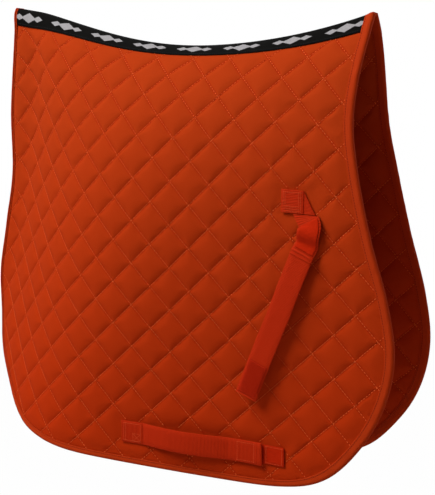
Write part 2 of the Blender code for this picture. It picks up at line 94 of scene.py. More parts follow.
@dataclass(frozen=True)
class PadPattern:
    """Sizes of the pattern, of the cloth stack and of the drape, the same as the CAD part's."""

    flap_length: float = 0.587
    flap_drop: float = 0.4933
    quilt_along: float = 0.048
    quilt_down: float = 0.0472
    tape_reach: float = 0.020
    drawn_front_end: float = 0.183
    drawn_rear_end: float = -0.303
    drawn_outline: tuple[tuple[float, float], ...] = (
        (0.180, -0.180), (0.188, -0.125), (0.205, -0.055), (0.224, 0.008), (0.232, 0.062),
        (0.223, 0.112), (0.199, 0.160), (0.160, 0.203), (0.108, 0.222), (0.019, 0.229),
        (-0.100, 0.231), (-0.190, 0.230), (-0.247, 0.217), (-0.297, 0.182), (-0.337, 0.140),
        (-0.355, 0.068), (-0.3415, -0.008), (-0.3262, -0.078), (-0.3222, -0.160),
    )
    stack: float = 0.003
    gap: float = 0.0003
    seam_tape_gap: float = 0.0006
    seam_tape_share: float = 0.4
    binding_thickness: float = 0.0008
    tape_thickness: float = 0.0007
    ridge_half_gap: float = 0.0015
    ridge_mid: float = 0.2623
    ridge_at: float = -0.06
    ridge_span: float = 0.27
    ridge_bend: tuple[float, float, float] = (0.0094, -0.0282, -0.0138)
    level_depth: float = 0.252
    rear_rise: float = -0.0484
    arch_steepness: float = 0.93
    arch_front_fall: float = 0.46
    rear_half_width: float = 0.0057
    rear_edge: float = -0.33
    rear_lean: float = 0.4722
    front_lean: float = -0.2506
    fold_round: float = 0.0343
    fold_at: float = -0.1285
    fold_slant: float = -0.27
    flare: float = 0.1383
    flare_curve: float = 0.1593
    front_curve: float = 0.3489
    least_half_width: float = 0.0088
    least_round: float = 0.0030
    least_fall: float = 0.06
    normal_reach: float = 0.003

    @property
    def hem(self) -> float:
        """Row of the pattern at the hem."""
        return self.flap_drop - self.ridge_mid

    @property
    def length_stretch(self) -> float:
        """Stretch of the drawn outline along the spine."""
        drawn = [s for s, _ in self.drawn_outline]
        return self.flap_length / (max(drawn) - min(drawn))

    @property
    def front_end(self) -> float:
        """Front end of the spine."""
        return self.drawn_front_end * self.length_stretch

    @property
    def rear_end(self) -> float:
        """Rear end of the spine."""
        return self.drawn_rear_end * self.length_stretch

    def outline(self) -> Array:
        """Free edge of a flap as pattern points, front to rear.

        Returns:
            Array: Rows of (s, t).
        """
        drawn = np.array(self.drawn_outline)
        stretch = self.flap_drop / (drawn[:, 1].max() + self.ridge_mid)
        t = (drawn[:, 1] + self.ridge_mid) * stretch - self.ridge_mid
        return np.stack([drawn[:, 0] * self.length_stretch, t], axis=1)

    def ridge_row(self, s: Array) -> Array:
        """Row of the pattern on which the ridge lies.

        Args:
            s: Places along the spine.

        Returns:
            Array: Row t at each place.
        """
        u = (s - self.ridge_at) / self.ridge_span
        slope, dip, twist = self.ridge_bend
        return -self.ridge_mid + slope * u + dip * u ** 2 + twist * u ** 3

    def half_width(self, s: Array, t: Array) -> Array:
        """Distance of the hanging flap from the plane of symmetry, away from the ridge.

        Args:
            s: Places along the spine.
            t: Rows of the pattern.

        Returns:
            Array: Half width at each place.
        """
        fold = self.fold_at + self.fold_slant * t
        turned = np.logaddexp(0.0, (fold - self.rear_edge) / self.fold_round)
        turned = turned - np.logaddexp(0.0, (fold - s) / self.fold_round)
        width = self.rear_half_width + self.front_lean * (s - self.rear_edge)
        width = width + (self.rear_lean - self.front_lean) * self.fold_round * turned
        width = width + self.flare * t + self.flare_curve * t ** 2
        width = width + self.front_curve * np.maximum(s - self.fold_at, 0.0) ** 2
        over = (width - self.least_half_width) / self.least_round
        width = self.least_half_width + self.least_round * np.logaddexp(0.0, over)
        return width - self.stack - self.ridge_half_gap


PAD = PadPattern()


class Drape:
    """Carries pattern points to their place on the hanging pad."""

    STEP = (0.00125, 0.001)
    MARGIN = (0.042, 0.1)
    CORNER_FROM = (0.03, 0.085)
    CORNER_OVER = (0.08, 0.11)
    CORNER_LIFT = (0.002, 0.0, 0.0095)

    def __init__(self, pad: PadPattern) -> None:
        """Builds the table of draped points.

        Args:
            pad: Pattern to drape.
        """
        self.pad = pad
        step_s, step_d = self.STEP
        edge = pad.outline()[:, 0]
        first = math.floor((edge.min() - self.MARGIN[0]) / step_s)
        last = math.ceil((edge.max() + self.MARGIN[0]) / step_s)
        self.s = np.arange(first, last + 1) * step_s
        self.depth = np.arange(math.ceil((pad.flap_drop + self.MARGIN[1]) / step_d) + 1) * step_d
        s = self.s[:, None]
        wide = pad.half_width(s, pad.ridge_row(s) + self.depth[None, :])
        ahead = np.maximum((s - pad.ridge_at) / pad.ridge_span, 0.0)
        steep = pad.arch_steepness - pad.arch_front_fall * ahead ** 2
        out = pad.ridge_half_gap + wide * (1.0 - np.exp(-steep * self.depth[None, :] / wide))
        drop = self._summed(out, step_d, axis=1)
        along = self._summed(out, step_s, axis=0)
        zero = -first
        along = along - along[zero]
        level = int(round(pad.level_depth / step_d))
        ridge = pad.rear_rise * self.s - pad.ridge_row(self.s) - self.depth[level] + drop[:, level]
        self.ridge_height = float(ridge[zero])
        height = ridge[:, None] - drop - self.ridge_height + pad.seam_tape_gap + pad.tape_thickness
        self.table = np.stack([along, -out, height], axis=-1)

    def _summed(self, out: Array, step: float, axis: int) -> Array:
        """Length that is left of the cloth in one direction, once its sideways slope is taken off.

        Args:
            out: Distance of the cloth from the plane of symmetry.
            step: Spacing of the table in that direction.
            axis: Direction that is summed.

        Returns:
            Array: Length from the first row, in the shape of out.
        """
        rate = np.sqrt(np.clip(1.0 - np.gradient(out, step, axis=axis) ** 2, self.pad.least_fall, 1.0))
        rate = np.moveaxis(rate, axis, 0)
        total = np.zeros_like(rate)
        total[1:] = np.cumsum((rate[1:] + rate[:-1]) * 0.5 * step, axis=0)
        return np.moveaxis(total, 0, axis)

    def sheet(self, s: Array, t: Array) -> Array:
        """Points of the flap's horse side, on the right flap.

        Args:
            s: Places along the spine.
            t: Rows of the pattern.

        Returns:
            Array: Rows of x, y, z.
        """
        depth = np.maximum(t - self.pad.ridge_row(s), 0.0)
        i = (s - self.s[0]) / self.STEP[0]
        j = depth / self.STEP[1]
        i0 = np.clip(i.astype(int), 0, len(self.s) - 2)
        j0 = np.clip(j.astype(int), 0, len(self.depth) - 2)
        a = (i - i0)[:, None]
        b = (j - j0)[:, None]
        low = self.table[i0, j0] * (1 - a) + self.table[i0 + 1, j0] * a
        high = self.table[i0, j0 + 1] * (1 - a) + self.table[i0 + 1, j0 + 1] * a
        return low * (1 - b) + high * b

    def _left_corner(self, s: Array, t: Array) -> Array:
        """How the left flap's lower front corner hangs higher and further forward than the right one's.

        Args:
            s: Places along the spine.
            t: Rows of the pattern.

        Returns:
            Array: Shift of each place, as x, y, z.
        """
        from_s, from_t = self.CORNER_FROM
        over_s, over_t = self.CORNER_OVER
        share = smooth_step((s - from_s) / over_s) * smooth_step((t - from_t) / over_t)
        return share[:, None] * np.array(self.CORNER_LIFT)

    def frame(self, s: Array, t: Array, side: Side) -> tuple[Array, Array, Array]:
        """Place, outward direction and tailwards-to-head direction of the cloth.

        Args:
            s: Places along the spine.
            t: Rows of the pattern.
            side: Flap that the points belong to.

        Returns:
            tuple: Three arrays of x, y, z rows.
        """
        reach = self.pad.normal_reach
        top = np.maximum(t - reach, self.pad.ridge_row(s))
        along = self.sheet(s + reach, t) - self.sheet(s - reach, t)
        down = self.sheet(s, top + 2 * reach) - self.sheet(s, top)
        out = unit(np.cross(down, along))
        flip = np.array([1.0, -float(side.value), 1.0])
        place = self.sheet(s, t) * flip
        if side is Side.LEFT:
            place = place + self._left_corner(s, t)
        return place, out * flip, unit(along) * flip

    def points(self, spots: Array, side: Side) -> Array:
        """Places of pattern points.

        Args:
            spots: Rows of (s, t, n).
            side: Flap that the points belong to.

        Returns:
            Array: Rows of x, y, z, in the shape of spots.
        """
        flat = np.asarray(spots, float).reshape(-1, 3)
        place, out, _ = self.frame(flat[:, 0], flat[:, 1], side)
        return (place + out * flat[:, 2:3]).reshape(np.shape(spots))


def unit(rows: Array) -> Array:
    """Rows scaled to length one."""
    return rows / np.maximum(np.linalg.norm(rows, axis=-1, keepdims=True), TINY)


def smooth_step(x: Array) -> Array:
    """Zero below 0, one above 1, with a soft turn between."""
    x = np.clip(x, 0.0, 1.0)
    return x * x * (3 - 2 * x)


def peak(run: Array, place: float, width: float) -> Array:
    """One at a place, falling softly to zero about two widths away from it."""
    return np.exp(-((run - place) / width) ** 2)


def run_length(points: Array) -> Array:
    """Distance along a row of points, from the first one."""
    steps = np.linalg.norm(np.diff(points, axis=0), axis=1)
    return np.concatenate([[0.0], np.cumsum(steps)])


def resampled(points: Array, step: float) -> Array:
    """Points about a step apart along a row of points.

    Args:
        points: Rows of coordinates.
        step: Wanted spacing.

    Returns:
        Array: Rows of coordinates, evenly spaced.
    """
    points = np.asarray(points, float)
    run = run_length(points)
    spots = np.linspace(0.0, run[-1], max(1, round(run[-1] / step)) + 1)
    return np.stack([np.interp(spots, run, column) for column in points.T], axis=1)


def smooth_curve(points: Array, step: float) -> Array:
    """Points about a step apart on a smooth curve through the given ones.

    Args:
        points: Rows of coordinates that the curve passes through.
        step: Wanted spacing.

    Returns:
        Array: Rows of coordinates.
    """
    rim = np.asarray(points, float)
    rim = np.vstack([2 * rim[0] - rim[1], rim, 2 * rim[-1] - rim[-2]])
    u = (np.arange(CURVE_PIECES) / CURVE_PIECES)[:, None]
    fine = []
    for k in range(1, len(rim) - 2):
        before, start, end, after = rim[k - 1:k + 3]
        bend = (end - before) * u
        bend = bend + (before * 2 - start * 5 + end * 4 - after) * u ** 2
        bend = bend + (start * 3 - before - end * 3 + after) * u ** 3
        fine.append(start + bend * 0.5)
    fine.append(rim[-2:-1])
    return resampled(np.vstack(fine), step)


DRAPE = Drape(PAD)


class Value:
    """A number socket of a node tree, on which Python's arithmetic makes Math nodes."""

    def __init__(self, graph: "Graph", socket: bpy.types.NodeSocket) -> None:
        """Wraps a socket of a graph."""
        self.graph = graph
        self.socket = socket

    def maths(self, operation: str, *numbers: "Value | float") -> "Value":
        """Math node with this value first."""
        return self.graph.maths(operation, self, *numbers)

    def __add__(self, other: "Value | float") -> "Value":
        """Sum."""
        return self.graph.maths("ADD", self, other)

    __radd__ = __add__

    def __sub__(self, other: "Value | float") -> "Value":
        """Difference."""
        return self.graph.maths("SUBTRACT", self, other)

    def __rsub__(self, other: float) -> "Value":
        """Difference from a number."""
        return self.graph.maths("SUBTRACT", other, self)

    def __mul__(self, other: "Value | float") -> "Value":
        """Product."""
        return self.graph.maths("MULTIPLY", self, other)

    __rmul__ = __mul__

    def __truediv__(self, other: "Value | float") -> "Value":
        """Quotient."""
        return self.graph.maths("DIVIDE", self, other)

    def __pow__(self, other: float) -> "Value":
        """Power."""
        return self.graph.maths("POWER", self, other)


class Graph:
    """Adds nodes to one shader or geometry tree."""

    def __init__(self, tree: bpy.types.NodeTree) -> None:
        """Takes over an empty tree."""
        self.tree = tree
        self.tree.nodes.clear()

    def node(self, kind: str, settings: dict | None = None, inputs: dict | None = None,
             output: int | str = 0) -> Value:
        """Adds one node.

        Args:
            kind: The node's type name.
            settings: Properties that are set before its sockets.
            inputs: Values or links of its sockets, by name or number.
            output: Which output to return.

        Returns:
            Value: That output, or an unusable one where the node has none.
        """
        made = self.tree.nodes.new(kind)
        made.location = (200 * len(self.tree.nodes), 0)
        for name, setting in (settings or {}).items():
            setattr(made, name, setting)
        for name, given in (inputs or {}).items():
            socket = made.inputs[name]
            if isinstance(given, Value):
                self.tree.links.new(given.socket, socket)
            else:
                socket.default_value = given
        return Value(self, made.outputs[output] if len(made.outputs) else None)

    def beside(self, value: Value, output: int | str) -> Value:
        """Another output of the node that a value comes from."""
        return Value(self, value.socket.node.outputs[output])

    def maths(self, operation: str, *numbers: Value | float) -> Value:
        """Math node on numbers or sockets."""
        return self.node("ShaderNodeMath", {"operation": operation}, dict(enumerate(numbers)))

    def scaled(self, vector: object, factor: Value | float) -> Value:
        """A vector or colour times a number."""
        settings = {"operation": "SCALE"}
        return self.node("ShaderNodeVectorMath", settings, {0: vector, "Scale": factor})

    def mixed(self, factor: Value | float, first: object, second: object) -> Value:
        """Colour between two colours."""
        inputs = {0: factor, 6: first, 7: second}
        return self.node("ShaderNodeMix", {"data_type": "RGBA"}, inputs, 2)

    def noise(self, place: Value, scale: float, detail: float = 2.0, rough: float = 0.5) -> Value:
        """Noise from 0 to 1 about every metre over scale."""
        inputs = {"Vector": place, "Scale": scale, "Detail": detail, "Roughness": rough}
        return self.node("ShaderNodeTexNoise", {}, inputs)

    def bump(self, height: Value, distance: float, below: Value | None = None) -> Value:
        """Bump of a surface.

        Args:
            height: Height from 0 to 1.
            distance: What a height of 1 stands for, in metres.
            below: Normal of a coarser bump under this one.

        Returns:
            Value: Normal of the bumped surface.
        """
        inputs = {"Height": height, "Distance": distance, "Strength": 1.0}
        if below is not None:
            inputs["Normal"] = below
        return self.node("ShaderNodeBump", {}, inputs)


@dataclass(frozen=True)
class Finish:
    """A finish of the pad: its colour and how it takes light."""

    SHEEN_ROUGHNESS = 0.45
    CLOUD_SCALE = 60.0
    CLOUD_DEPTH = 0.0002

    name: str
    colour: Colour
    roughness: float = 0.85
    sheen: float = 0.0
    gloss: float = 0.12
    sheen_tint: Colour = (1.0, 1.0, 1.0)
    mottle: float = 0.06

    def surface(self, graph: Graph) -> tuple[Value, Value | float, Value]:
        """Colour, roughness and normal of the finish.

        Args:
            graph: Shader tree that the nodes go into.

        Returns:
            tuple: Base colour, roughness and normal.
        """
        place = graph.node("ShaderNodeTexCoord", {}, {}, "Object")
        cloudy = graph.noise(place, self.CLOUD_SCALE, 3.0)
        return self.mottled(graph, cloudy), self.roughness, graph.bump(cloudy, self.CLOUD_DEPTH)

    def mottled(self, graph: Graph, cloudy: Value) -> Value:
        """The colour, a little lighter and darker with a noise."""
        return graph.scaled(self.colour, 1.0 - self.mottle / 2 + self.mottle * cloudy)

    @cache
    def material(self) -> bpy.types.Material:
        """Builds the material, when it is first asked for.

        Returns:
            bpy.types.Material: The finished material.
        """
        made = bpy.data.materials.new(self.name)
        made.use_nodes = True
        graph = Graph(made.node_tree)
        colour, roughness, normal = self.surface(graph)
        shader = graph.node("ShaderNodeBsdfPrincipled", {}, {
            "Base Color": colour, "Roughness": roughness, "Normal": normal, "Metallic": 0.0,
            "Sheen Weight": self.sheen, "Sheen Roughness": self.SHEEN_ROUGHNESS,
            "Sheen Tint": (*self.sheen_tint, 1.0), "Specular IOR Level": self.gloss,
        })
        graph.node("ShaderNodeOutputMaterial", {}, {"Surface": shader})
        made.diffuse_color = (*self.colour, 1.0)
        return made


def pattern_axes(graph: Graph) -> tuple[Value, Value, Value]:
    """The cloth's own coordinates, in metres.

    Args:
        graph: Shader tree that the nodes go into.

    Returns:
        tuple: The coordinates as a vector, and its two numbers.
    """
    place = graph.node("ShaderNodeUVMap", {"uv_map": "cloth"})
    along = graph.node("ShaderNodeSeparateXYZ", {}, {0: place})
    return place, along, graph.beside(along, 1)


@dataclass(frozen=True)
class WovenCotton(Finish):
    """Plain woven cotton with fine threads, soft creases and a faint nap."""

    thread: float = 0.00045
    thread_depth: float = 0.00003
    crease_depth: float = 0.0005
    crease_scale: float = 75.0
    crease_rough: float = 0.55
    cloud_scale: float = 22.0
    cloud_share: float = 0.6
    slub_scale: float = 900.0
    # Painted shade: along the seams the colour is mixed towards the darker red below, which stands for the
    # shade in the grooves.
    seam_shade: float = 0.0
    seam_reach: float = 0.0020
    pinched: Colour = (0.400, 0.0145, 0.0006)
    # Painted light: towards the ridge the colour is mixed towards this paler one, which stands for the light
    # on the upper flap.
    faded: Colour = (0.450, 0.043, 0.0052)
    fade_from: float = 0.20
    fade_over: float = 0.40

    def surface(self, graph: Graph) -> tuple[Value, Value | float, Value]:
        """Weave over soft creases, with painted light paler towards the ridge and painted shade in the
        seams.

        Args:
            graph: Shader tree that the nodes go into.

        Returns:
            tuple: Base colour, roughness and normal.
        """
        place, along, down = pattern_axes(graph)
        turn = 2 * math.pi / self.thread
        warp = (along * turn).maths("SINE")
        weft = (down * turn).maths("SINE")
        weave = warp * weft * 0.5 + 0.5
        creases = graph.noise(place, self.crease_scale, 3.0, self.crease_rough)
        cloudy = graph.noise(place, self.cloud_scale, 2.0)
        slub = graph.noise(place, self.slub_scale, 1.0)
        uneven = cloudy * self.cloud_share + slub * (1.0 - self.cloud_share)
        grain = 1.0 - self.mottle / 2 + self.mottle * uneven
        # Painted light: share of the paler colour, rising towards the ridge.
        high = (self.fade_from - down) * (1.0 / self.fade_over)
        high = high.maths("MAXIMUM", 0.0).maths("MINIMUM", 1.0)
        colour = graph.scaled(graph.mixed(high, (*self.colour, 1.0), (*self.faded, 1.0)), grain)
        # Painted shade along the seams, where the grooves fall into shade.
        if self.seam_shade:
            painted_groove_share = self._at_seams(along, down) * self.seam_shade
            colour = graph.mixed(painted_groove_share, colour, (*self.pinched, 1.0))
        normal = graph.bump(weave, self.thread_depth, graph.bump(creases, self.crease_depth))
        return colour, self.roughness, normal

    def _at_seams(self, along: Value, down: Value) -> Value:
        """How much painted shade darkens the cloth along the quilting seams.

        Args:
            along: Place along the spine.
            down: Place down the flap.

        Returns:
            Value: One on a seam, fading to zero beside it.
        """
        across = 1.0 / math.hypot(1.0 / PAD.quilt_along, 1.0 / PAD.quilt_down)
        shade = None
        for sign in (1.0, -1.0):
            cell = along * (1.0 / PAD.quilt_along) + down * (sign / PAD.quilt_down)
            off = (cell.maths("FRACT") - 0.5).maths("ABSOLUTE") * (across / self.seam_reach)
            near = (1.0 - off).maths("MAXIMUM", 0.0)
            shade = near if shade is None else shade.maths("MAXIMUM", near)
        return shade


@dataclass(frozen=True)
class RibbedWebbing(Finish):
    """Dense webbing whose ribs cross it, with fine yarns in each rib."""

    yarn: float = 0.0006
    yarn_depth: float = 0.00005
    cloud_scale: float = 55.0
    rib_pitch: float = 0.0016
    rib_shade: float = 0.28

    def surface(self, graph: Graph) -> tuple[Value, Value | float, Value]:
        """Yarns along the strap over the modelled ribs.

        Args:
            graph: Shader tree that the nodes go into.

        Returns:
            tuple: Base colour, roughness and normal.
        """
        place, along, across = pattern_axes(graph)
        turn = 2 * math.pi / self.yarn
        yarns = (across * turn).maths("SINE") * (along * turn * 0.5).maths("SINE") * 0.5 + 0.5
        cloudy = graph.noise(place, self.cloud_scale, 2.0)
        colour = self.mottled(graph, cloudy * 0.5 + yarns * 0.5)
        rib = (along * (math.pi / self.rib_pitch)).maths("SINE").maths("ABSOLUTE")
        colour = graph.scaled(colour, 1.0 - self.rib_shade + self.rib_shade * rib)
        return colour, self.roughness, graph.bump(yarns, self.yarn_depth)


@dataclass(frozen=True)
class WovenTape(Finish):
    """Narrow black tape with a twill weave and a plain row of woven lozenges."""

    mark: Colour = (0.42, 0.42, 0.44)
    pitch: float = 0.062
    mark_length: float = 0.0125
    mark_height: float = 0.0056
    mark_row: float = 0.0095
    mark_sharpness: float = 14.0
    side_mark_at: float = 0.016
    side_mark_size: float = 0.62
    twill: float = 0.0011
    twill_depth: float = 0.00006
    twill_shade: float = 0.28
    cloud_scale: float = 300.0
    cloud_shade: float = 0.3

    def surface(self, graph: Graph) -> tuple[Value, Value | float, Value]:
        """Twill and lozenges.

        Args:
            graph: Shader tree that the nodes go into.

        Returns:
            tuple: Base colour, roughness and normal.
        """
        place, along, down = pattern_axes(graph)
        twill = ((along + down) * (2 * math.pi / self.twill)).maths("SINE") * 0.5 + 0.5
        row = (down - self.mark_row).maths("ABSOLUTE") / self.mark_height
        shape = None
        sizes = {0.0: 1.0, self.side_mark_at: self.side_mark_size, -self.side_mark_at: self.side_mark_size}
        for step, size in sizes.items():
            near = ((along + step) / self.pitch).maths("FRACT") - 0.5
            near = near.maths("ABSOLUTE") * (self.pitch / self.mark_length)
            inner = size - row - near
            solid = (inner * self.mark_sharpness + 0.5).maths("MAXIMUM", 0.0).maths("MINIMUM", 1.0)
            shape = solid if shape is None else shape.maths("MAXIMUM", solid)
        threads = shape * (1.0 - self.twill_shade + self.twill_shade * twill)
        cloudy = graph.noise(place, self.cloud_scale, 2.0)
        colour = graph.mixed(threads, (*self.colour, 1.0), (*self.mark, 1.0))
        colour = graph.scaled(colour, 1.0 - self.cloud_shade / 2 + self.cloud_shade * cloudy)
        return colour, self.roughness, graph.bump(twill, self.twill_depth)


@dataclass(frozen=True)
class LoopPile(Finish):
    """Napped side of a hook-and-loop closing."""

    fuzz_scale: float = 1600.0
    fuzz_depth: float = 0.0004
    clump_scale: float = 260.0
    clump_depth: float = 0.0005

    def surface(self, graph: Graph) -> tuple[Value, Value | float, Value]:
        """Fuzzy pile.

        Args:
            graph: Shader tree that the nodes go into.

        Returns:
            tuple: Base colour, roughness and normal.
        """
        place = graph.node("ShaderNodeTexCoord", {}, {}, "Object")
        fuzz = graph.noise(place, self.fuzz_scale, 3.0, 0.7)
        clumps = graph.noise(place, self.clump_scale, 2.0)
        colour = self.mottled(graph, fuzz * 0.5 + clumps * 0.5)
        normal = graph.bump(fuzz, self.fuzz_depth, graph.bump(clumps, self.clump_depth))
        return colour, self.roughness, normal


class Finishes:
    """The pad's finishes."""

    COVER_SHEEN = (1.0, 0.45, 0.25)
    STRAP_SHEEN = (1.0, 0.4, 0.3)
    COTTON = WovenCotton("cotton_cover", (0.474, 0.032, 0.0028), 0.9, 0.015, 0.03, COVER_SHEEN,
                         seam_shade=0.60)
    LINING = replace(COTTON, name="cotton_lining")
    BINDING = WovenCotton("cotton_binding", (0.462, 0.033, 0.0034), 0.82, 0.015, 0.05, COVER_SHEEN,
                          thread=0.0007, thread_depth=0.00005, crease_scale=120.0)
    WEBBING = RibbedWebbing("ribbed_webbing", (0.580, 0.029, 0.0030), 0.75, 0.015, 0.06, STRAP_SHEEN,
                            mottle=0.12)
    LOOP = LoopPile("loop_pile", (0.52, 0.021, 0.0028), 0.95, 0.03, 0.03, STRAP_SHEEN, mottle=0.12)
    HOOK = LoopPile("hook_tape", (0.50, 0.021, 0.0028), 0.75, gloss=0.06, mottle=0.08)
    TAPE = WovenTape("woven_spine_tape", (0.0046, 0.0045, 0.0042), 0.9, gloss=0.03)
    SEAM_TAPE = WovenTape("woven_seam_tape", (0.0042, 0.0050, 0.0058), 0.9, gloss=0.03,
                          mark=(0.0042, 0.0050, 0.0058))
    THREAD = Finish("sewing_thread", (0.86, 0.17, 0.038), 0.7)
    # Partly painted shade: a real thread, coloured dark so that its line also stands for the shade in the
    # groove it sews.
    EDGE_THREAD = Finish("binding_thread", (0.25, 0.016, 0.003), 0.8)
    RED_THREAD = Finish("strap_thread", (0.70, 0.090, 0.022), 0.7)
    BLACK_THREAD = Finish("tape_thread", (0.008, 0.009, 0.010), 0.6)


def linked(name: str, data: bpy.types.ID) -> bpy.types.Object:
    """New object in the scene, which holds a mesh, camera or light."""
    made = bpy.data.objects.new(name, data)
    bpy.context.scene.collection.objects.link(made)
    return made


def discard(used: bpy.types.Object) -> None:
    """Removes an object that has served, and its mesh."""
    mesh = used.data
    bpy.data.objects.remove(used)
    bpy.data.meshes.remove(mesh)


def store(mesh: bpy.types.Mesh, name: str, rows: Array) -> None:
    """Stores a number or a vector at each point of a mesh.

    Args:
        mesh: The mesh.
        name: Name by which Geometry Nodes read it.
        rows: A number for each point, or rows of x, y, z.
    """
    kind, part = ("FLOAT", "value") if rows.ndim == 1 else ("FLOAT_VECTOR", "vector")
    attribute = mesh.attributes.new(name, kind, "POINT")
    attribute.data.foreach_set(part, rows.astype(np.float32).ravel())


def closed_volume(verts: Array, faces: Array) -> float:
    """Signed volume, six times over, inside four-cornered faces.

    Args:
        verts: Rows of x, y, z.
        faces: Rows of four corners.

    Returns:
        float: Above zero where the faces point outwards.
    """
    a, b, c, d = (verts[faces[:, k]] for k in range(4))
    total = np.einsum("ij,ij->i", a, np.cross(b, c)) + np.einsum("ij,ij->i", a, np.cross(c, d))
    return float(total.sum())


def cloth_object(name: str, verts: Array, faces: Array, finish: Finish, uv: Array) -> bpy.types.Object:
    """Closed mesh object with outward faces, a finish and the cloth's own coordinates.

    Args:
        name: Name of the piece.
        verts: Rows of x, y, z.
        faces: Rows of four corners.
        finish: Finish that it wears.
        uv: Cloth coordinates of each point, in metres.

    Returns:
        bpy.types.Object: The linked object.
    """
    if closed_volume(verts, faces) < 0:
        faces = faces[:, ::-1]
    mesh = bpy.data.meshes.new(name)
    mesh.from_pydata(verts.tolist(), [], faces.tolist())
    mesh.materials.append(finish.material())
    layer = mesh.uv_layers.new(name="cloth")
    corners = np.empty(len(mesh.loops), np.int32)
    mesh.loops.foreach_get("vertex_index", corners)
    layer.data.foreach_set("uv", np.asarray(uv, np.float32)[corners].ravel())
    mesh.shade_smooth()
    return linked(name, mesh)


def loft_faces(rows: int, count: int) -> Array:
    """Faces of a tube of equal rings, capped at both ends by strips across the ring.

    Args:
        rows: Number of rings.
        count: Points in each ring, an even number.

    Returns:
        Array: Rows of four corners.
    """
    k = np.arange(count)
    m = (k + 1) % count
    wall = [np.stack([r * count + k, r * count + m, (r + 1) * count + m, (r + 1) * count + k], axis=1)
            for r in range(rows - 1)]
    j = np.arange(count // 2 - 1)
    cap = np.stack([j, count - 1 - j, count - 2 - j, j + 1], axis=1)
    last = (rows - 1) * count
    return np.vstack([*wall, cap, last + cap[:, ::-1]])


def loft(name: str, rings: Array, finish: Finish, uv: Array) -> bpy.types.Object:
    """Tube through rings of points, with cloth coordinates in the shape of the rings."""
    rows, count, _ = rings.shape
    return cloth_object(name, rings.reshape(-1, 3), loft_faces(rows, count), finish, uv.reshape(-1, 2))


class GeometryTree:
    """A Geometry Nodes tree with named inputs, run once on a mesh and then made plain."""

    def __init__(self, name: str, inputs: Sequence[tuple[str, float]]) -> None:
        """Starts the tree.

        Args:
            name: Name of the tree.
            inputs: Name and usual value of each size.
        """
        self.tree = bpy.data.node_groups.new(name, "GeometryNodeTree")
        self.graph = Graph(self.tree)
        face = self.tree.interface
        face.new_socket("Geometry", in_out="INPUT", socket_type="NodeSocketGeometry")
        for word, usual in inputs:
            socket = face.new_socket(word, in_out="INPUT", socket_type="NodeSocketFloat")
            socket.default_value = usual
        face.new_socket("Geometry", in_out="OUTPUT", socket_type="NodeSocketGeometry")
        self._entry = self.tree.nodes.new("NodeGroupInput")

    def given(self, name: str) -> Value:
        """An input of the tree by name."""
        return Value(self.graph, self._entry.outputs[name])

    def stored(self, name: str, kind: str = "FLOAT_VECTOR") -> Value:
        """What a mesh stores at each point under a name."""
        return self.graph.node("GeometryNodeInputNamedAttribute", {"data_type": kind}, {"Name": name})

    def close(self, shape: Value, finish: Finish) -> None:
        """Ends the tree with real geometry in a finish.

        Args:
            shape: Geometry, which may hold instances.
            finish: Finish that it wears.
        """
        real = self.graph.node("GeometryNodeRealizeInstances", {}, {0: shape})
        smooth = self.graph.node("GeometryNodeSetShadeSmooth", {}, {0: real})
        dressed = self.graph.node("GeometryNodeSetMaterial", {}, {
            "Geometry": smooth, "Material": finish.material(),
        })
        self.graph.node("NodeGroupOutput", {}, {0: dressed})

    def run(self, source: bpy.types.Object, name: str, sizes: dict[str, float]) -> bpy.types.Object:
        """Runs the tree on an object, which is used up.

        Args:
            source: Object that the tree works on.
            name: Name of the piece that comes out.
            sizes: Values of the tree's inputs by name.

        Returns:
            bpy.types.Object: A plain mesh object.
        """
        modifier = source.modifiers.new("nodes", "NODES")
        modifier.node_group = self.tree
        sockets = {item.name: item.identifier for item in self.tree.interface.items_tree
                   if item.in_out == "INPUT"}
        for word, size in sizes.items():
            modifier[sockets[word]] = size
        bpy.context.view_layer.update()
        graph = bpy.context.evaluated_depsgraph_get()
        mesh = bpy.data.meshes.new_from_object(source.evaluated_get(graph))
        mesh.name = name
        made = linked(name, mesh)
        discard(source)
        return made


@dataclass
class Thread:
    """Lines of stitches, each a separate row of pattern points, gathered into one piece."""

    name: str
    side: Side
    finish: Finish
    pitch: float = 0.0037
    length: float = 0.0027
    width: float = 0.0008
    height: float = 0.0007
    _places: list[Array] = field(default_factory=list)
    _outs: list[Array] = field(default_factory=list)

    def line(self, spots: Array) -> None:
        """Adds a line of stitches.

        Args:
            spots: Rows of pattern points (s, t, n).
        """
        spots = np.asarray(spots, float)
        flat, out, _ = DRAPE.frame(spots[:, 0], spots[:, 1], self.side)
        self._places.append(flat + out * spots[:, 2:3])
        self._outs.append(out)

    def box(self, corners: Sequence[tuple[float, float]], level: float, crossed: bool = False) -> None:
        """Adds the lines of a sewn box.

        Args:
            corners: Four corners (s, t) in order.
            level: Height of the stitches.
            crossed: Whether its diagonals are sewn too.
        """
        pairs = [(0, 1), (1, 2), (2, 3), (3, 0)]
        if crossed:
            pairs += [(0, 2), (1, 3)]
        for a, b in pairs:
            self.straight(corners[a], corners[b], level)

    def straight(self, start: tuple[float, float], end: tuple[float, float], level: float) -> None:
        """Adds a straight line of stitches between two points (s, t), at a height."""
        row = resampled(np.array([start, end]), STITCH_LINE_STEP)
        self.line(np.column_stack([row, np.full(len(row), level)]))

    def sew(self) -> bpy.types.Object:
        """Makes the stitches.

        Returns:
            bpy.types.Object: A plain mesh object.
        """
        verts = np.vstack(self._places)
        edges = []
        start = 0
        for row in self._places:
            edges.extend((start + k, start + k + 1) for k in range(len(row) - 1))
            start += len(row)
        mesh = bpy.data.meshes.new("seam_lines")
        mesh.from_pydata(verts.tolist(), edges, [])
        store(mesh, "cloth_out", np.vstack(self._outs))
        return stitch_tree(self.finish).run(linked("seam_lines", mesh), self.name, {
            "Pitch": self.pitch, "Length": self.length, "Width": self.width, "Height": self.height,
        })


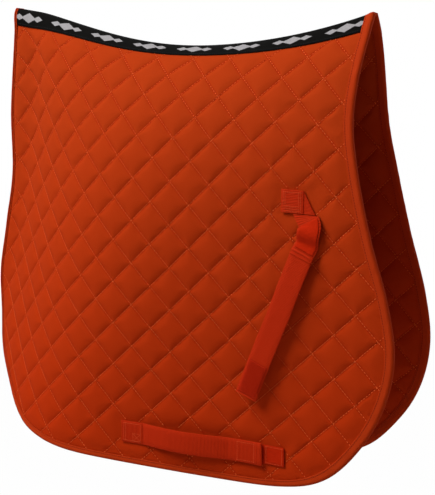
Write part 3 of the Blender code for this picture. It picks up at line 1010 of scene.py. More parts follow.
@cache
def stitch_tree(finish: Finish) -> GeometryTree:
    """Geometry Nodes tree that sets a small grain at each stitch of a curve; made once for a finish.

    Args:
        finish: Finish of the thread.

    Returns:
        GeometryTree: The tree.
    """
    tree = GeometryTree(f"stitches_{finish.name}", [
        ("Pitch", Thread.pitch), ("Length", Thread.length), ("Width", Thread.width),
        ("Height", Thread.height),
    ])
    graph = tree.graph
    curve = graph.node("GeometryNodeMeshToCurve", {}, {"Mesh": tree.given("Geometry")})
    spaced = graph.node("GeometryNodeResampleCurve", {"mode": "LENGTH"}, {
        "Curve": curve, "Length": tree.given("Pitch"),
    })
    grain = graph.node("GeometryNodeMeshUVSphere", {}, {"Segments": 4, "Rings": 3, "Radius": 0.5})
    tangent = graph.node("GeometryNodeInputTangent")
    turned = graph.node("FunctionNodeAxesToRotation", {"primary_axis": "Z", "secondary_axis": "X"},
                        {0: tangent, 1: tree.stored("cloth_out")})
    size = graph.node("ShaderNodeCombineXYZ", {}, {
        0: tree.given("Height"), 1: tree.given("Width"), 2: tree.given("Length"),
    })
    placed = graph.node("GeometryNodeInstanceOnPoints", {}, {
        "Points": spaced, "Instance": grain, "Rotation": turned, "Scale": size,
    })
    tree.close(placed, finish)
    return tree


@dataclass
class Joined:
    """Hands a finished piece to a body of the frame, or bakes it in place, and hides the nodes it stands
    for.
    """

    bend_start: float = 0.0
    bend_end: float = -0.14

    def bends(self, piece: bpy.types.Object, side: Side, slot: str, *nodes: str) -> None:
        """Bakes a piece that crosses from the spine onto a flap into place and hides the nodes it stands
        for.
        """
        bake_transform(piece)
        self._note(piece, slot, nodes)

    def rides(self, piece: bpy.types.Object, body: str, slot: str, *nodes: str) -> None:
        """Joins a piece that moves with one body."""
        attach(piece, body)
        self._note(piece, slot, nodes)

    @staticmethod
    def _note(piece: bpy.types.Object, slot: str, nodes: tuple[str, ...]) -> None:
        """Hides the nodes that a piece stands for and logs its faces.

        Args:
            piece: The finished piece.
            slot: Not used.
            nodes: Nodes of the frame that it stands for.
        """
        if nodes:
            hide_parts(*nodes)
        LOG.info("%s: %d faces", piece.name, len(piece.data.polygons))


JOINED = Joined()


@dataclass
class FreeEdge:
    """Fine stations along the free edge, from the front of the ridge round to its rear."""

    step: float = 0.0025
    front_width: float = 0.0090
    bottom_width: float = 0.0066
    rear_width: float = 0.0040
    front_from: float = 0.11
    rear_from: float = -0.24
    taper: float = 0.07
    smoothed: int = 5

    def __post_init__(self) -> None:
        """Lays out the stations and the width of the binding at each."""
        front_low = (PAD.front_end, float(PAD.ridge_row(PAD.front_end)) + PAD.tape_reach)
        rear_low = (PAD.rear_end, float(PAD.ridge_row(PAD.rear_end)) + PAD.tape_reach)
        free = smooth_curve(np.array([front_low, *PAD.outline(), rear_low]), self.step)
        front = np.array([[PAD.front_end, float(PAD.ridge_row(PAD.front_end))], front_low])
        rear = np.array([rear_low, [PAD.rear_end, float(PAD.ridge_row(PAD.rear_end))]])
        front = resampled(front, self.step)[:-1]
        rear = resampled(rear, self.step)[1:]
        self.points = np.vstack([front, free, rear])
        ahead = np.gradient(self.points, axis=0)
        ahead[0] = ahead[-1] = 0.0
        ahead[0, 1] = 1.0
        ahead[-1, 1] = -1.0
        kernel = np.ones(self.smoothed) / self.smoothed
        pad = self.smoothed // 2
        padded = np.pad(ahead, ((pad, pad), (0, 0)), mode="edge")
        ahead = np.stack([np.convolve(column, kernel, "valid") for column in padded.T], axis=1)
        ahead = unit(ahead)
        self.inward = np.stack([-ahead[:, 1], ahead[:, 0]], axis=1)
        self.run = run_length(self.points)
        self.depth = self.points[:, 1] - PAD.ridge_row(self.points[:, 0])
        front = smooth_step((self.points[:, 0] - self.front_from) / self.taper)
        rear = smooth_step((self.rear_from - self.points[:, 0]) / self.taper)
        self.width = self.bottom_width + front * (self.front_width - self.bottom_width)
        self.width = self.width + rear * (self.rear_width - self.bottom_width)


EDGE = FreeEdge()


@dataclass(frozen=True)
class Web:
    """Sizes of the strap webbing and its patches."""

    width: float = 0.025
    thickness: float = 0.0012
    patch_width: float = 0.021
    patch: float = 0.0010
    sewn: float = PAD.stack + 0.0006
    margin: float = 0.0025
    rib_pitch: float = 0.0016
    rib_height: float = 0.00050
    rib_round: float = 0.6
    rib_middle: float = 0.7
    step: float = 0.00025
    seam_side: float = 0.0025
    seam_lift: float = 0.0001

    @property
    def closed(self) -> float:
        """Height of a strap's underside over a closed pair of patches."""
        return self.sewn + 2 * self.patch + 2 * PAD.gap


WEB = Web()


@dataclass(frozen=True)
class Girth:
    """Middle line of the girth strap, its patches and its stitching."""

    rear: float = -0.085
    box: float = 0.027
    tip: float = 0.088
    tab_start: float = 0.052
    tab_end: float = 0.113
    level: float = 0.004
    above_hem: float = 0.0365
    slope: float = -0.025
    slack: float = 0.0075
    fold: float = 0.0007
    fold_length: float = 0.0085
    fold_turn: float = 0.0015
    fold_thinned: float = 0.45
    hook: float = 0.030
    hook_inset: float = 0.002
    hook_step: float = 0.0015
    hook_thickness: float = 0.7
    loop_step: float = 0.001
    box_inset: float = 0.003
    second_row: float = 0.0022
    knot: float = 0.0095
    knot_top: float = 0.15
    tip_seam: tuple[float, float] = (0.001, 0.0095)
    loop_seam: tuple[float, float] = (0.004, 0.0025)
    loop_seam_side: float = 0.0015

    @property
    def hinge(self) -> float:
        """Place where the free strap starts."""
        return self.rear + self.box

    def row(self, s: Array | float) -> Array | float:
        """Row of the middle line."""
        return PAD.hem - self.above_hem + self.slope * (s - self.rear)

    def box_corners(self, first: float, last: float, half: float) -> list[tuple[float, float]]:
        """Corners (s, t) of a box round the middle line, a half width above and below it."""
        return [(first, self.row(first) - half), (last, self.row(last) - half),
                (last, self.row(last) + half), (first, self.row(first) + half)]


@dataclass(frozen=True)
class Billet:
    """Middle line of the billet strap, its patches and its stitching.

    The bends of the hanging strap are measured along it: dip is a depth and a width, hump a height,
    a distance above the dip and a width, bow a shift forwards, its place, its width and the length
    over which it starts, and hang a height, a distance below the dip and the length of its rise.
    """

    box: float = 0.024
    box_at: float = 0.122
    drawn: tuple[tuple[float, float], ...] = (
        (0.1350, 0.3045), (0.1392, 0.2963), (0.1412, 0.2861), (0.1396, 0.2745), (0.1347, 0.2617),
        (0.1278, 0.2438), (0.1206, 0.2250), (0.1135, 0.2065), (0.1060, 0.1880), (0.0974, 0.1680),
        (0.0868, 0.1420), (0.0790, 0.1225), (0.0725, 0.1050),
    )
    rise: int = 3
    ride: float = 0.0105
    loop: tuple[int, int] = (1, 4)
    loop_trim: float = 0.0045
    hook: tuple[int, int] = (10, 12)
    hook_margin: float = 0.003
    patch_thickness: float = 0.8
    patch_spacing: int = 4
    dip_above_loop_end: float = 0.0135
    dip: tuple[float, float] = (0.0044, 0.0060)
    hump: tuple[float, float, float] = (0.0016, 0.014, 0.007)
    bow: tuple[float, float, float, float] = (0.0028, 0.011, 0.009, 0.004)
    hang: tuple[float, float, float] = (0.0030, 0.010, 0.05)
    end_points: int = 96
    end_lift: float = 0.6
    root_shift: float = -0.0005
    root_turn: float = 10.0
    fold: tuple[float, float, float] = (0.0009, 0.0095, 0.001)
    bars: tuple[float, float] = (-0.0018, 0.0022)
    bar: tuple[float, float] = (0.0010, 0.0009)
    tip_seams: tuple[float, float, float] = (0.0015, 0.0040, 0.0065)
    tip_seam: tuple[float, float] = (0.0005, 0.0005)
    seam_ends: tuple[float, float] = (0.0025, 0.002)
    side_seams: tuple[float, float, float, float] = (-0.0100, -0.0078, 0.0072, 0.0094)
    foot_seams: tuple[float, float, int] = (-0.0062, 0.0056, 8)
    foot_length: float = 0.0050
    seam_lift: float = 0.0002
    seam_points: int = 24

    def path(self) -> Array:
        """Middle line as pattern points (s, t)."""
        drawn = np.array(self.drawn)
        return np.stack([drawn[:, 0], PAD.hem - drawn[:, 1]], axis=1)


GIRTH = Girth()
BILLET = Billet()


@dataclass
class QuiltedPanel:
    """Padded flap of cover, wadding and lining, sewn into diamonds.

    The cells of the pattern are the same for both flaps, so they are laid out and swollen once.
    """

    steps: tuple[float, ...] = (0.012, 0.035, 0.075, 0.14, 0.24, 0.36, 0.5)
    seam_top: float = 0.0028
    seam_low: float = 0.0002
    swell_out: float = 0.0025
    swell_in: float = 0.0024
    settle: float = 0.006
    edge_room: float = 0.0022
    ridge_room: float = 0.0012
    rim_reach: float = 0.009
    end_reach: float = 0.03
    ridge_points: int = 60
    ridge_slack: float = 0.001
    strap_room: float = 0.0008
    strap_ease: float = 2.0
    pressed: float = 0.0005
    puff_round: float = 0.6
    seed: int = 11
    sim_scale: float = 10.0
    sim_frames: int = 20
    sim_start: float = 0.0008
    sim_jitter: float = 2e-5
    crown: float = 0.06
    crown_free: float = 0.02
    most_swell: float = 2.0
    seam_step: float = 0.0015
    seam_stop: float = 0.0004
    shortest_seam: int = 5
    thread_lift: float = 0.00035
    crease_width: float = 0.0022
    crease_end: float = 0.004
    creases: tuple[tuple[float, float, float, float, float], ...] = (
        (0.1007, -0.1841, 0.1680, -0.1606, 0.0016),
        (0.0537, -0.2473, 0.0655, -0.2205, 0.0008),
    )

    def __post_init__(self) -> None:
        """Lays out the cells of the pattern and swells them."""
        half_s, half_t = PAD.quilt_along / 2, PAD.quilt_down / 2
        edge = EDGE.points
        us = (edge[:, 0] / half_s + edge[:, 1] / half_t) / 2
        vs = (edge[:, 0] / half_s - edge[:, 1] / half_t) / 2
        low = math.floor(min(us.min(), vs.min())) - 1
        high = math.ceil(max(us.max(), vs.max())) + 1
        half = np.array(self.steps)
        cell = np.concatenate([half, 1 - half[-2::-1], [1.0]])
        line = np.concatenate([[0.0], (np.arange(high - low)[:, None] + cell[None, :]).ravel()]) + low - 0.5
        u, v = np.meshgrid(line, line, indexing="ij")
        s = (u + v) * half_s
        t = (u - v) * half_t
        depth = t - PAD.ridge_row(s)
        apart, near = self._to_edge(s, t)
        kept = self._within(s, t) & (apart > self.edge_room) & (depth > self.ridge_room)
        whole = kept[:-1, :-1] & kept[1:, :-1] & kept[1:, 1:] & kept[:-1, 1:]
        index = np.arange(kept.size).reshape(kept.shape)
        quads = np.stack([index[:-1, :-1], index[1:, :-1], index[1:, 1:], index[:-1, 1:]], axis=-1)[whole]
        ragged = np.ones(kept.shape, bool)
        ragged[1:-1, 1:-1] = ~(whole[:-1, :-1] & whole[1:, :-1] & whole[1:, 1:] & whole[:-1, 1:])
        ragged &= (apart < self.rim_reach) & (depth > self.rim_reach)
        used = np.unique(quads)
        number = np.full(kept.size, -1)
        number[used] = np.arange(len(used))
        self.quads = number[quads]
        self.s, self.t, self.u, self.v = (a.ravel()[used] for a in (s, t, u, v))
        rim, near = ragged.ravel()[used], near.ravel()[used]
        self.free = np.minimum(np.minimum(apart.ravel()[used] - EDGE.width[near],
                                          depth.ravel()[used] - PAD.tape_reach),
                               self._to_straps(self.s, self.t))
        on_seam = np.zeros(kept.shape, bool)
        on_seam[::len(cell), :] = True
        on_seam[:, ::len(cell)] = True
        self.held = on_seam.ravel()[used] | (self.free < self.pressed) | rim
        self.move = self._simulated()
        self._reach_edge(rim, near)
        self._settle()

    def _reach_edge(self, rim: Array, near: Array) -> None:
        """Moves the ragged rim of the cells out to one line under the binding.

        Args:
            rim: Which points lie on the rim.
            near: Index of the nearest point of the free edge, for each point.
        """
        inward = EDGE.inward[near[rim]]
        here = np.stack([self.s[rim], self.t[rim]], axis=1)
        side = np.sum((here - EDGE.points[near[rim]]) * inward, axis=1)
        self.s[rim], self.t[rim] = (here + inward * (self.edge_room - side)[:, None]).T

    def _within(self, s: Array, t: Array) -> Array:
        """Whether pattern points lie inside the free edge and below the ridge.

        Args:
            s: Places along the spine.
            t: Rows of the pattern.

        Returns:
            Array: True or false for each point.
        """
        ridge_s = np.linspace(PAD.rear_end, PAD.front_end, self.ridge_points)
        ridge = np.stack([ridge_s, PAD.ridge_row(ridge_s) - self.ridge_slack], axis=1)
        ring = np.vstack([EDGE.points[::3], ridge])
        inside = np.zeros(s.shape, bool)
        for a, b in zip(ring, np.roll(ring, -1, axis=0)):
            if a[1] == b[1]:
                continue
            crossing = (a[1] > t) != (b[1] > t)
            inside ^= crossing & (s < a[0] + (b[0] - a[0]) * (t - a[1]) / (b[1] - a[1]))
        return inside

    def _to_edge(self, s: Array, t: Array) -> tuple[Array, Array]:
        """Finds how far pattern points lie from the free edge.

        Args:
            s: Places along the spine.
            t: Rows of the pattern.

        Returns:
            tuple: Distance of each point, and the index of the edge's nearest point.
        """
        tree = KDTree(len(EDGE.points))
        for k, (x, y) in enumerate(EDGE.points):
            tree.insert((x, y, 0.0), k)
        tree.balance()
        apart, index = np.empty(s.size), np.empty(s.size, int)
        for k, (x, y) in enumerate(zip(s.ravel(), t.ravel())):
            spot, near, distance = tree.find((x, y, 0.0))
            side = abs((x - spot[0]) * EDGE.inward[near][0] + (y - spot[1]) * EDGE.inward[near][1])
            apart[k], index[k] = side if distance < self.end_reach else distance, near
        return apart.reshape(s.shape), index.reshape(s.shape)

    def _to_straps(self, s: Array, t: Array) -> Array:
        """Distance of pattern points to the places that a strap's stitching presses flat.

        Args:
            s: Places along the spine.
            t: Rows of the pattern.

        Returns:
            Array: Distance of each point, stretched so that the cloth swells sooner beside a strap.
        """
        half = WEB.width / 2 + self.strap_room
        side = np.abs(t - GIRTH.row(s)) - half
        end = np.maximum(GIRTH.rear - WEB.margin - s, s - GIRTH.tab_end - WEB.margin)
        girth = np.hypot(np.maximum(side, 0), np.maximum(end, 0))
        top_s, top_t = BILLET.path()[0]
        side = np.maximum(BILLET.box_at - half - s, s - top_s - half)
        end = np.maximum(top_t - BILLET.box - WEB.margin - t, t - top_t - WEB.margin)
        return self.strap_ease * np.minimum(girth, np.hypot(np.maximum(side, 0), np.maximum(end, 0)))

    def _simulated(self) -> Array:
        """Blows the sewn cloth up between its seams with a cloth simulation.

        Returns:
            Array: Rows of (ds, dt, n), with n as a share of the full swell.
        """
        start = np.stack([self.s, self.t, np.zeros_like(self.s)], axis=1)
        rng = np.random.default_rng(self.seed)
        jitter = rng.normal(0.0, self.sim_jitter, len(self.s))
        start[:, 2] = np.where(self.held, 0.0, self.sim_start + jitter)
        faces = self.quads
        a, b, d = (start[faces[0, k]] for k in (0, 1, 3))
        if np.cross(b - a, d - a)[2] < 0:
            faces = faces[:, ::-1]
        mesh = bpy.data.meshes.new("sewn_cloth")
        mesh.from_pydata((start * self.sim_scale).tolist(), [], faces.tolist())
        sheet = linked("sewn_cloth", mesh)
        group = sheet.vertex_groups.new(name="sewn")
        group.add(np.flatnonzero(self.held).tolist(), 1.0, "ADD")
        cloth = sheet.modifiers.new("cloth", "CLOTH")
        rule = cloth.settings
        rule.vertex_group_mass = "sewn"
        rule.quality = 5
        rule.mass = 0.3
        rule.tension_stiffness = rule.compression_stiffness = 15.0
        rule.shear_stiffness = 5.0
        rule.bending_stiffness = 0.35
        rule.use_pressure = True
        rule.uniform_pressure_force = 4.0
        rule.shrink_min = rule.shrink_max = -0.03
        rule.effector_weights.gravity = 0.0
        cloth.collision_settings.use_collision = False
        cloth.point_cache.frame_start = 1
        cloth.point_cache.frame_end = self.sim_frames
        for frame in range(1, self.sim_frames + 1):
            bpy.context.scene.frame_set(frame)
        graph = bpy.context.evaluated_depsgraph_get()
        swollen = np.empty(len(self.s) * 3, np.float32)
        sheet.evaluated_get(graph).data.vertices.foreach_get("co", swollen)
        swollen = swollen.reshape(-1, 3).astype(float) / self.sim_scale
        discard(sheet)
        bpy.context.scene.frame_set(1)
        start[:, 2] = 0.0
        move = swollen - start
        crown = np.maximum(np.abs(self.u - np.round(self.u)), np.abs(self.v - np.round(self.v))) < self.crown
        full = np.median(move[crown & (self.free > self.crown_free), 2])
        LOG.info("swell of the sewn cloth: %.2f mm", full * 1000)
        move[:, 2] /= full
        return move

    def _settle(self) -> None:
        """Flattens the swell beside edges and presses the creases in."""
        self.move[:, 2] = np.clip(self.move[:, 2], 0, self.most_swell)
        self.move *= smooth_step(self.free / self.settle)[:, None]
        self.top = self.seam_top + self.swell_out * self.move[:, 2]
        self.low = self.seam_low - self.swell_in * self.move[:, 2]
        for s0, t0, s1, t1, depth in self.creases:
            along = np.array([s1 - s0, t1 - t0])
            length = np.hypot(*along)
            along = along / length
            run = (self.s - s0) * along[0] + (self.t - t0) * along[1]
            off = (self.s - s0) * -along[1] + (self.t - t0) * along[0]
            end = self.crease_end
            fade = smooth_step((run + end) / (2 * end)) * smooth_step((length + end - run) / (2 * end))
            press = depth * fade * peak(off, 0.0, self.crease_width)
            self.top = np.maximum(self.top - press, np.minimum(self.top, self.seam_top))

    def build(self, side: Side) -> bpy.types.Object:
        """Builds one flap's panel.

        Args:
            side: Which flap.

        Returns:
            bpy.types.Object: The padded piece.
        """
        count = len(self.s)
        s = self.s + self.move[:, 0]
        t = self.t + self.move[:, 1]
        top = DRAPE.points(np.stack([s, t, self.top], axis=1), side)
        low = DRAPE.points(np.stack([s, t, self.low], axis=1), side)
        quads = self.quads
        edges = np.vstack([quads[:, [k, (k + 1) % 4]] for k in range(4)])
        code = edges[:, 0] * count + edges[:, 1]
        back = edges[:, 1] * count + edges[:, 0]
        rim = edges[~np.isin(code, back)]
        wall = np.stack([rim[:, 1], rim[:, 0], rim[:, 0] + count, rim[:, 1] + count], axis=1)
        faces = np.vstack([quads, quads[:, ::-1] + count, wall])
        uv = np.stack([self.s, self.t], axis=1)
        piece = cloth_object(f"{side.word}_quilted_panel", np.vstack([top, low]), faces,
                             Finishes.COTTON, np.vstack([uv, uv]))
        piece.data.materials.append(Finishes.LINING.material())
        slots = np.zeros(len(faces), np.int32)
        slots[len(quads):2 * len(quads)] = 1
        piece.data.polygons.foreach_set("material_index", slots)
        return piece

    def seams(self) -> list[Array]:
        """Seam lines of the quilting, each cut where the cloth is bound or pressed.

        Returns:
            list: Rows of (s, t) for each unbroken line.
        """
        half_s, half_t = PAD.quilt_along / 2, PAD.quilt_down / 2
        high = np.abs(np.concatenate([self.u, self.v])).max()
        step = self.seam_step / math.hypot(half_s, half_t)
        line = np.arange(-high, high, step)
        lines = []
        for way in SeamLine:
            for k in np.arange(math.floor(-high), math.ceil(high)) + 0.5:
                fixed = np.full_like(line, k)
                u, v = (fixed, line) if way is SeamLine.RISING else (line, fixed)
                s, t = (u + v) * half_s, (u - v) * half_t
                apart, near = self._to_edge(s, t)
                sewn = self._within(s, t) & (apart > EDGE.width[near])
                sewn &= t - PAD.ridge_row(s) > PAD.tape_reach
                sewn &= self._to_straps(s, t) >= self.seam_stop
                lines.extend(self._pieces(s, t, sewn))
        return lines

    def _pieces(self, s: Array, t: Array, sewn: Array) -> list[Array]:
        """Splits a line into its sewn stretches.

        Args:
            s: Places of its points along the spine.
            t: Their rows.
            sewn: Which points are sewn.

        Returns:
            list: Rows of (s, t) for each stretch that isn't too short.
        """
        cuts = np.flatnonzero(np.diff(np.concatenate([[0], sewn.astype(int), [0]])))
        found = []
        for first, last in zip(cuts[::2], cuts[1::2]):
            if last - first > self.shortest_seam:
                found.append(np.stack([s[first:last], t[first:last]], axis=1))
        return found

    def dress(self, side: Side) -> None:
        """Builds the panel and its quilting thread on both faces.

        Args:
            side: Which flap.
        """
        panel = self.build(side)
        word = side.word
        JOINED.bends(panel, side, "cotton_cover", f"{word}_cover", f"{word}_wadding", f"{word}_lining")
        levels = {"cover": self.seam_top + self.thread_lift, "lining": self.seam_low - self.thread_lift}
        for face, level in levels.items():
            thread = Thread(f"{word}_{face}_quilting_thread", side, Finishes.THREAD)
            for row in self.seams():
                thread.line(np.column_stack([row, np.full(len(row), level)]))
            JOINED.bends(thread.sew(), side, "cotton_binding")


def over_ridge(ring: Array, side: Side) -> Array:
    """Rings that carry the first one over the ridge to the plane of symmetry.

    Args:
        ring: Rows of x, y, z.
        side: Flap that the ring belongs to.

    Returns:
        Array: Three rings, from the plane of symmetry outwards.
    """
    rows = []
    reach = np.abs(ring[:, 1]) - PAD.gap / 6
    for share in (1.0, 0.66, 0.33):
        row = ring.copy()
        row[:, 1] = side.value * (np.abs(ring[:, 1]) - reach * share)
        rows.append(row)
    return np.array(rows)


@dataclass
class EdgeBinding:
    """Folded cotton tape round the free edge of a flap, sewn through near its inner edge.

    A row of outer is a point of the tape's outside: its share of the binding's width, a distance that
    is added, and its height above the cloth in thicknesses of the tape.
    """

    outer: tuple[tuple[float, float, float], ...] = (
        (0.00, 0.0000, -0.60), (0.00, 0.0002, 0.35), (0.00, 0.0007, 0.80), (0.00, 0.0013, 0.55),
        (0.00, 0.0020, 0.50), (0.12, 0.0020, 0.80), (0.40, 0.0015, 0.90), (0.65, 0.0008, 1.05),
        (0.85, 0.0004, 1.25), (1.00, 0.0001, 0.80), (1.00, 0.0010, 0.15),
    )
    turn: float = 0.002
    lip: float = 0.45
    inside: float = 0.0006
    inside_start: float = 0.0005
    inside_shares: tuple[float, float] = (0.4, 0.7)
    inside_gap: float = 0.4
    seeds: tuple[int, int] = (3, 4)
    wave: float = 0.00022
    wave_stations: int = 3
    soft_from: float = 0.003
    soft_over: float = 0.004
    tape_lift: float = 0.0006
    tape_fade: float = 0.006
    end_step: float = 0.002
    thread_reach: float = 0.0017
    thread_from: float = 0.004

    def _profile(self, width: float) -> tuple[Array, Array]:
        """Ring of the folded tape at one station.

        Args:
            width: How far the binding reaches onto the cloth.

        Returns:
            tuple: Distance from the inner edge, and level above the cloth's middle.
        """
        half = PAD.stack / 2
        share, more, crown = np.array(self.outer).T
        reach = share * (width - self.turn) + more + np.where(share == 1, self.turn, 0.0)
        level = half + PAD.gap + PAD.binding_thickness * crown
        level[-1] = half * self.lip
        out_reach = np.concatenate([reach, reach[::-1]])
        out_level = np.concatenate([level, -level[::-1]])
        inner = width - self.inside
        near, far = self.inside_shares
        side = np.array([self.inside_start, inner * near, inner * far, inner - self.inside, inner])
        in_reach = np.concatenate([side, side[::-1]])
        in_level = np.array([-1, -1, -1, -1, -0.8, 0.8, 1, 1, 1, 1]) * (half + PAD.gap * self.inside_gap)
        return np.concatenate([out_reach, in_reach]), np.concatenate([out_level, in_level])

    def build(self, side: Side) -> bpy.types.Object:
        """Builds the binding of one flap.

        Args:
            side: Which flap.

        Returns:
            bpy.types.Object: The binding.
        """
        half = PAD.stack / 2
        rng = np.random.default_rng(self.seeds[side is Side.LEFT])
        knots = rng.normal(0.0, 1.0, len(EDGE.run) // self.wave_stations + 2)
        ripple = np.interp(EDGE.run, np.linspace(0, EDGE.run[-1], len(knots)), knots) * self.wave
        over_tape = self._over_tape()
        rings = []
        for k, (edge, inward) in enumerate(zip(EDGE.points, EDGE.inward)):
            reach, level = self._profile(EDGE.width[k])
            base = edge + inward * EDGE.width[k]
            spots = base[None, :] - inward[None, :] * reach[:, None]
            soft = np.clip((reach - self.soft_from) / self.soft_over, 0, 1) * (level > half)
            lift = np.where(level > 0, over_tape[k], 0.0)
            n = half + level + lift + soft * ripple[k]
            rings.append(np.column_stack([spots, n]))
        placed = DRAPE.points(np.array(rings), side)
        front = over_ridge(placed[0], side)
        rear = over_ridge(placed[-1], side)
        placed = np.concatenate([front, placed, rear[::-1]])
        around = run_length(np.column_stack(self._profile(EDGE.width[-1])))
        along = np.concatenate([EDGE.run[0] - self.end_step * np.arange(len(front), 0, -1), EDGE.run,
                                EDGE.run[-1] + self.end_step * np.arange(1, len(rear) + 1)])
        uv = np.stack(np.meshgrid(along, around, indexing="ij"), axis=-1)
        return loft(f"{side.word}_binding", placed, Finishes.BINDING, uv)

    def _over_tape(self) -> Array:
        """How far each station is lifted by the end of the spine tape under it."""
        return self.tape_lift * (1 - smooth_step((EDGE.depth - PAD.tape_reach) / self.tape_fade))

    def dress(self, side: Side) -> None:
        """Builds the binding and the stitch lines on its two faces.

        Args:
            side: Which flap.
        """
        JOINED.bends(self.build(side), side, "cotton_binding", f"{side.word}_edge_binding")
        thread = Thread(f"{side.word}_binding_thread", side, Finishes.EDGE_THREAD, 0.0028, 0.0020)
        base = EDGE.points + EDGE.inward * (EDGE.width - self.thread_reach)[:, None]
        keep = EDGE.depth > self.thread_from
        groove = PAD.gap + PAD.binding_thickness * 0.5
        for level in (PAD.stack + groove + self._over_tape(), np.full(len(base), -groove)):
            thread.line(np.column_stack([base, level])[keep])
        JOINED.bends(thread.sew(), side, "cotton_binding")


@dataclass
class SpineTape:
    """Black woven tape over the ridge, and the narrow tape under it."""

    step: float = 0.0025
    under_binding: float = 0.0015
    inset: int = 2
    sag: float = 0.00018
    sag_from: float = 0.001
    rim: float = 0.0004
    groove: float = 0.0175
    depths: tuple[float, ...] = (0.015, 0.010, 0.005, 0.0)
    crown: tuple[float, ...] = (0.5, 1.0, 0.72, 1.05, 1.1, 1.1, 1.05)
    under: float = 0.02
    under_rim: float = 0.2
    past_ridge: tuple[float, float, float] = (-0.0015, -0.003, -0.0045)
    seam_shares: tuple[float, ...] = (1.0, 0.97, 0.6, 0.25, 0.0)
    seam_rim: float = 0.3
    thread_level: float = 0.75

    def _stations(self, inset: int = 0) -> Array:
        """Places along the spine, rear to front, tucked under the bindings.

        Args:
            inset: How many to leave out at each end.

        Returns:
            Array: The places.
        """
        first = PAD.rear_end + EDGE.rear_width - self.under_binding
        last = PAD.front_end - EDGE.front_width + self.under_binding
        stations = np.linspace(first, last, round((last - first) / self.step) + 1)
        return stations[inset:len(stations) - inset]

    def half(self, side: Side) -> bpy.types.Object:
        """Builds the half of the upper tape on one flap.

        Args:
            side: Which flap.

        Returns:
            bpy.types.Object: The half tape.
        """
        low = PAD.stack + PAD.gap
        thick = PAD.tape_thickness
        depths = np.array([PAD.tape_reach, PAD.tape_reach - self.rim, self.groove, *self.depths])
        down = np.concatenate([depths, self.past_ridge])
        rings, uvs = [], []
        for s in self._stations():
            across = np.column_stack([np.full(len(depths), s), float(PAD.ridge_row(s)) + depths])
            dip = self.sag * math.sin(s * 2 * math.pi / PAD.quilt_along) * (depths > self.sag_from)
            under = np.full(len(depths), low + thick * self.under)
            under[0] = low + thick * self.under_rim
            top = DRAPE.points(np.column_stack([across, low + thick * np.array(self.crown) + dip]), side)
            bottom = DRAPE.points(np.column_stack([across, under]), side)
            over = over_ridge(top[-1:], side)[::-1]
            below = over_ridge(bottom[-1:], side)[::-1]
            rings.append(np.concatenate([top, over[:, 0], below[::-1, 0], bottom[::-1]]))
            uvs.append(np.column_stack([np.full(2 * len(down), s), np.concatenate([down, down[::-1]])]))
        return loft(f"{side.word}_ridge_tape", np.array(rings), Finishes.TAPE, np.array(uvs))

    def seam(self) -> bpy.types.Object:
        """Builds the narrow tape that joins the two flaps from below.

        Returns:
            bpy.types.Object: The seam tape.
        """
        reach = PAD.seam_tape_share * PAD.tape_reach * np.array(self.seam_shares)
        wide = np.concatenate([reach, -reach[::-1], -reach, reach[::-1]])
        flip = np.array([1.0, -1.0, 1.0])
        upper_level = np.full(len(reach), -PAD.seam_tape_gap)
        under_level = upper_level - PAD.tape_thickness
        under_level[0] += PAD.tape_thickness * self.seam_rim
        rings, uvs = [], []
        for s in self._stations(self.inset):
            across = np.column_stack([np.full(len(reach), s), float(PAD.ridge_row(s)) + reach])
            upper = DRAPE.points(np.column_stack([across, upper_level]), Side.RIGHT)
            under = DRAPE.points(np.column_stack([across, under_level]), Side.RIGHT)
            rings.append(np.concatenate([upper, upper[::-1] * flip, under * flip, under[::-1]]))
            uvs.append(np.column_stack([np.full(len(wide), s), wide]))
        return loft("ridge_seam_tape", np.array(rings), Finishes.SEAM_TAPE, np.array(uvs))

    def dress(self) -> None:
        """Builds the tapes and their stitch lines."""
        stations = self._stations(self.inset)
        level = PAD.stack + PAD.gap + PAD.tape_thickness * self.thread_level
        for side in Side:
            JOINED.bends(self.half(side), side, "spine_tape", f"{side.word}_spine_tape")
            thread = Thread(f"{side.word}_ridge_tape_thread", side, Finishes.BLACK_THREAD, 0.0028, 0.0020)
            row = PAD.ridge_row(stations) + self.groove
            thread.line(np.column_stack([stations, row, np.full(len(stations), level)]))
            JOINED.bends(thread.sew(), side, "spine_tape")
        JOINED.rides(self.seam(), "spine", "spine_tape", "spine_seam_tape")


